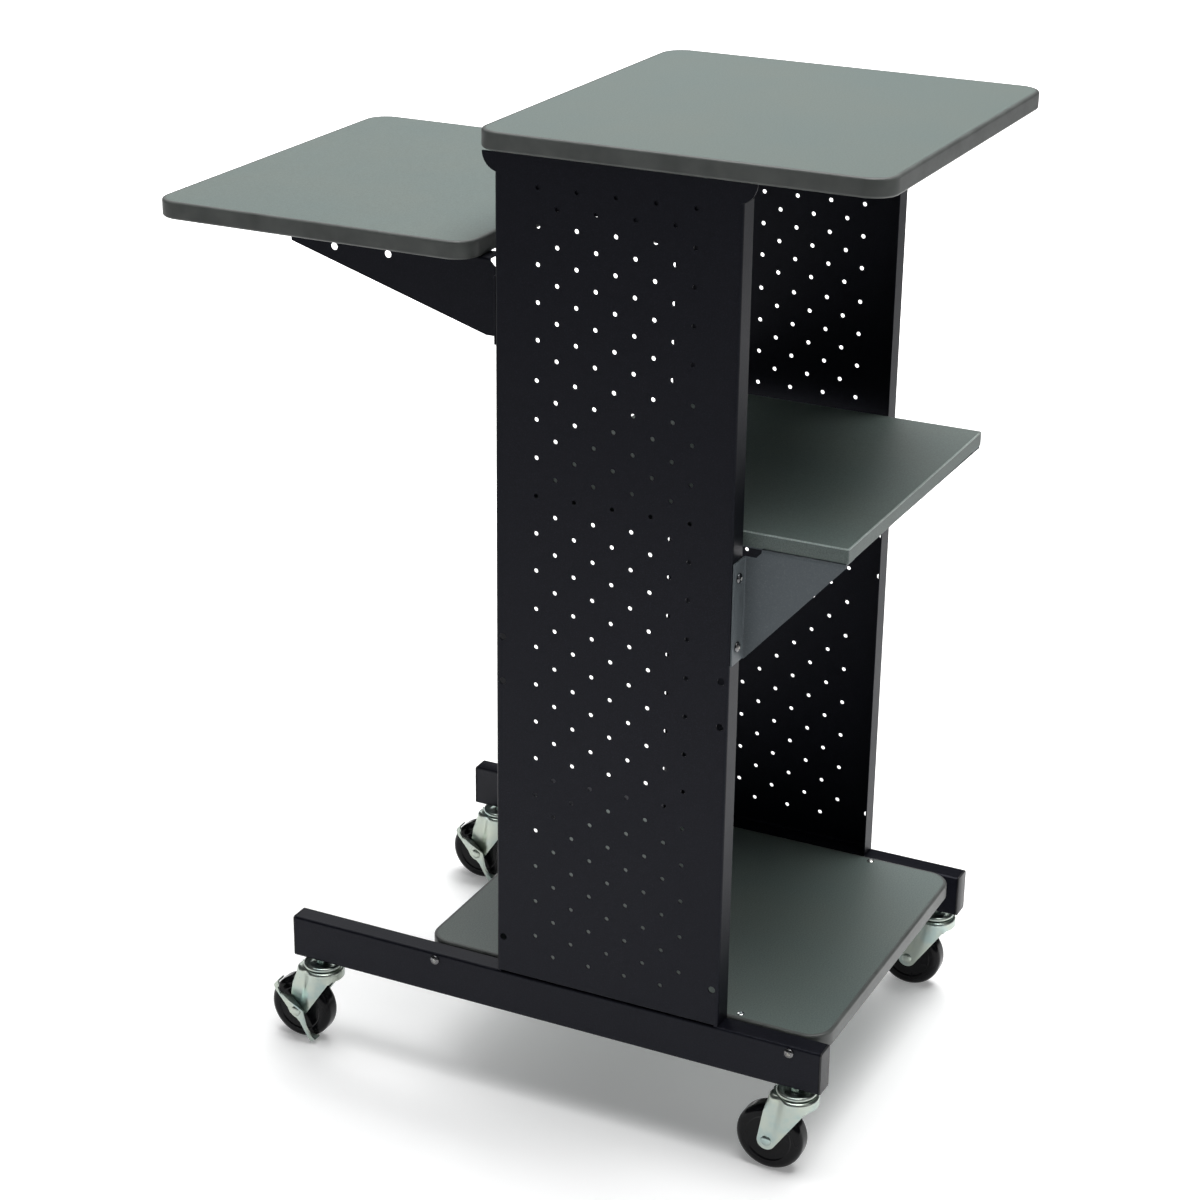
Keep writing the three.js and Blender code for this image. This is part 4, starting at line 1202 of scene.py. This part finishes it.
def casters():
    """Builds one caster of each kind at the origin and places the copies."""
    wheel_low, wheel_high = box_mm("front_left_caster_wheel")
    axle_z = (wheel_low.z + wheel_high.z) / 2
    _, fork_high = box_mm("front_left_caster_fork")
    stem_low, stem_high = box_mm("front_left_caster_stem")
    rail_low, _ = box_mm("base_rail_left")
    hex_low = stem_low.z + RACE_MIDDLE[-1][1] + PIN_STEP
    fork = caster_fork("fork_shape", fork_high.z, axle_z)
    race = caster_race("race_shape", stem_low.z)
    stem = caster_stem("stem_shape", hex_low, rail_low.z - GAP, stem_high.z)
    wheel = caster_wheel("wheel_shape", axle_z - wheel_low.z, wheel_high.x - wheel_low.x)
    for end in ENDS:
        for side in SIDES:
            prefix = f"{end}_{side}_caster"
            low, high = box_mm(f"{prefix}_stem")
            centre = (low + high) / 2
            origin = Matrix.Translation(Vector((centre.x, centre.y, 0)) * MM)
            at_axle = origin @ Matrix.Translation(Vector((0, TRAIL, axle_z)) * MM)
            axle_low, axle_high = box_mm(f"{prefix}_axle")
            pin = caster_axle(f"{prefix}_pin", centre.x - axle_low.x, axle_high.x - centre.x)
            put_on(moved(pin, at_axle), f"{end}_{side}_fork", ZINC, f"{prefix}_axle")
            kinds = (
                (wheel, "tyre", at_axle, f"{end}_{side}_wheel", WHEEL_RUBBER, "wheel"),
                (fork, "pressed_fork", origin, f"{end}_{side}_fork", ZINC, "fork"),
                (race, "rolled_race", origin, "frame", ZINC, "stem"),
                (stem, "hex_stem", origin, "frame", ZINC, "stem"),
            )
            for shape, name, place, body, coat, node in kinds:
                put_on(copied(shape, f"{prefix}_{name}", place), body, coat, f"{prefix}_{node}")
            if end == "rear":
                lever_low, _ = box_mm(f"{prefix}_brake_lever")
                lever = brake_lever(f"{prefix}_lever", lever_low.x - centre.x, axle_z)
                put_on(moved(lever, origin), f"{end}_{side}_brake", ZINC, f"{prefix}_brake_lever")
    for shape in (fork, race, stem, wheel):
        bpy.data.objects.remove(shape)


# ---- scene ----


def floor():
    """A plain pale floor that glows a little, and fades to white far from the podium."""
    surface = Surface()
    corners = [(-FLOOR_REACH, -FLOOR_REACH, 0), (FLOOR_REACH, -FLOOR_REACH, 0)]
    corners += [(-x, -y, 0) for x, y, _ in corners]
    surface.faces.append(tuple(surface.ring(corners)))
    ground = surface.object("studio_floor", outwards=(0, 0, 1))
    finish = Finish("pale_floor", 0.7, specular=0.1)
    distance = finish.node("VectorMath", {0: finish.place})
    distance.operation = "LENGTH"
    seen = finish.node("LightPath", {}).outputs["Is Camera Ray"]
    near, far = FLOOR_FADE
    fade = {"Value": distance.outputs["Value"], "From Min": near, "From Max": far, "To Min": FLOOR_GLOW}
    glow = finish.node("MapRange", fade)
    finish.put(finish.span(seen, FLOOR_GLOW, 1.0), glow.inputs["To Max"])
    finish.put(WHITE, finish.shader.inputs["Emission Color"])
    finish.put(glow.outputs["Result"], finish.shader.inputs["Emission Strength"])
    cloud = finish.noise(2.5, 2)
    colour = finish.ramp(cloud, [(0.3, (0.92, 0.92, 0.92)), (0.7, (0.95, 0.95, 0.95))])
    ground.data.materials.append(finish.done(colour))


def camera():
    """The camera stands left of the reader's side, looking down at the podium."""
    data = bpy.data.cameras.new("camera")
    data.lens = CAMERA_LENS
    data.sensor_width = 36
    eye = bpy.data.objects.new("camera", data)
    bpy.context.scene.collection.objects.link(eye)
    yaw, pitch, roll = (math.radians(angle) for angle in CAMERA_ANGLES)
    ahead = Vector((math.cos(pitch) * math.cos(yaw), math.cos(pitch) * math.sin(yaw), -math.sin(pitch)))
    level_right = ahead.cross(Vector((0, 0, 1))).normalized()
    level_up = level_right.cross(ahead)
    right = level_right * math.cos(roll) + level_up * math.sin(roll)
    up = level_up * math.cos(roll) - level_right * math.sin(roll)
    turn = Matrix((right, up, -ahead)).transposed()
    eye.matrix_world = Matrix.Translation(CAMERA_PLACE) @ turn.to_4x4()
    bpy.context.scene.camera = eye


def area_light(name, place, aim, size, power, spread):
    """A square light that looks from its place at its aim."""
    data = bpy.data.lights.new(name, "AREA")
    data.shape = "RECTANGLE"
    data.size, data.size_y = size, size
    data.energy = power
    data.spread = math.radians(spread)
    lamp = bpy.data.objects.new(name, data)
    bpy.context.scene.collection.objects.link(lamp)
    lamp.location = place
    lamp.rotation_mode = "QUATERNION"
    lamp.rotation_quaternion = (Vector(aim) - Vector(place)).to_track_quat("-Z", "Y")


def light():
    """A large soft light overhead, a low one in front, one for the floor behind, and a dim surround."""
    world = bpy.data.worlds.new("surround")
    bpy.context.scene.world = world
    world.use_nodes = True
    nodes, links = world.node_tree.nodes, world.node_tree.links
    background = nodes["Background"]
    background.inputs["Color"].default_value = (*SURROUND_COLOUR, 1.0)
    background.inputs["Strength"].default_value = SURROUND
    white = nodes.new("ShaderNodeBackground")
    white.inputs["Color"].default_value = (*WHITE, 1.0)
    seen = nodes.new("ShaderNodeMixShader")
    links.new(nodes.new("ShaderNodeLightPath").outputs["Is Camera Ray"], seen.inputs[0])
    links.new(background.outputs["Background"], seen.inputs[1])
    links.new(white.outputs["Background"], seen.inputs[2])
    links.new(seen.outputs["Shader"], nodes["World Output"].inputs["Surface"])
    for name, settings in LIGHTS.items():
        area_light(name, *settings)
    bpy.context.scene.view_settings.view_transform = "Standard"


for side_name in SIDES:
    side_panel(side_name)
    base_rail(side_name)
    rail_cap(side_name, "front")
    rail_cap(side_name, "rear")
    middle_bracket(side_name)
    side_bracket(side_name)
    angle_bracket(f"top_angle_{side_name}", "top_bracket", side_name, TOP_BRACKET_CHAMFER)
    angle_bracket(f"ledger_angle_{side_name}", "bottom_ledger", side_name)
for shelf in ("top_shelf", "side_shelf", "bottom_shelf"):
    banded_shelf(shelf)
middle_shelf()
screws()
casters()
floor()
camera()
light()
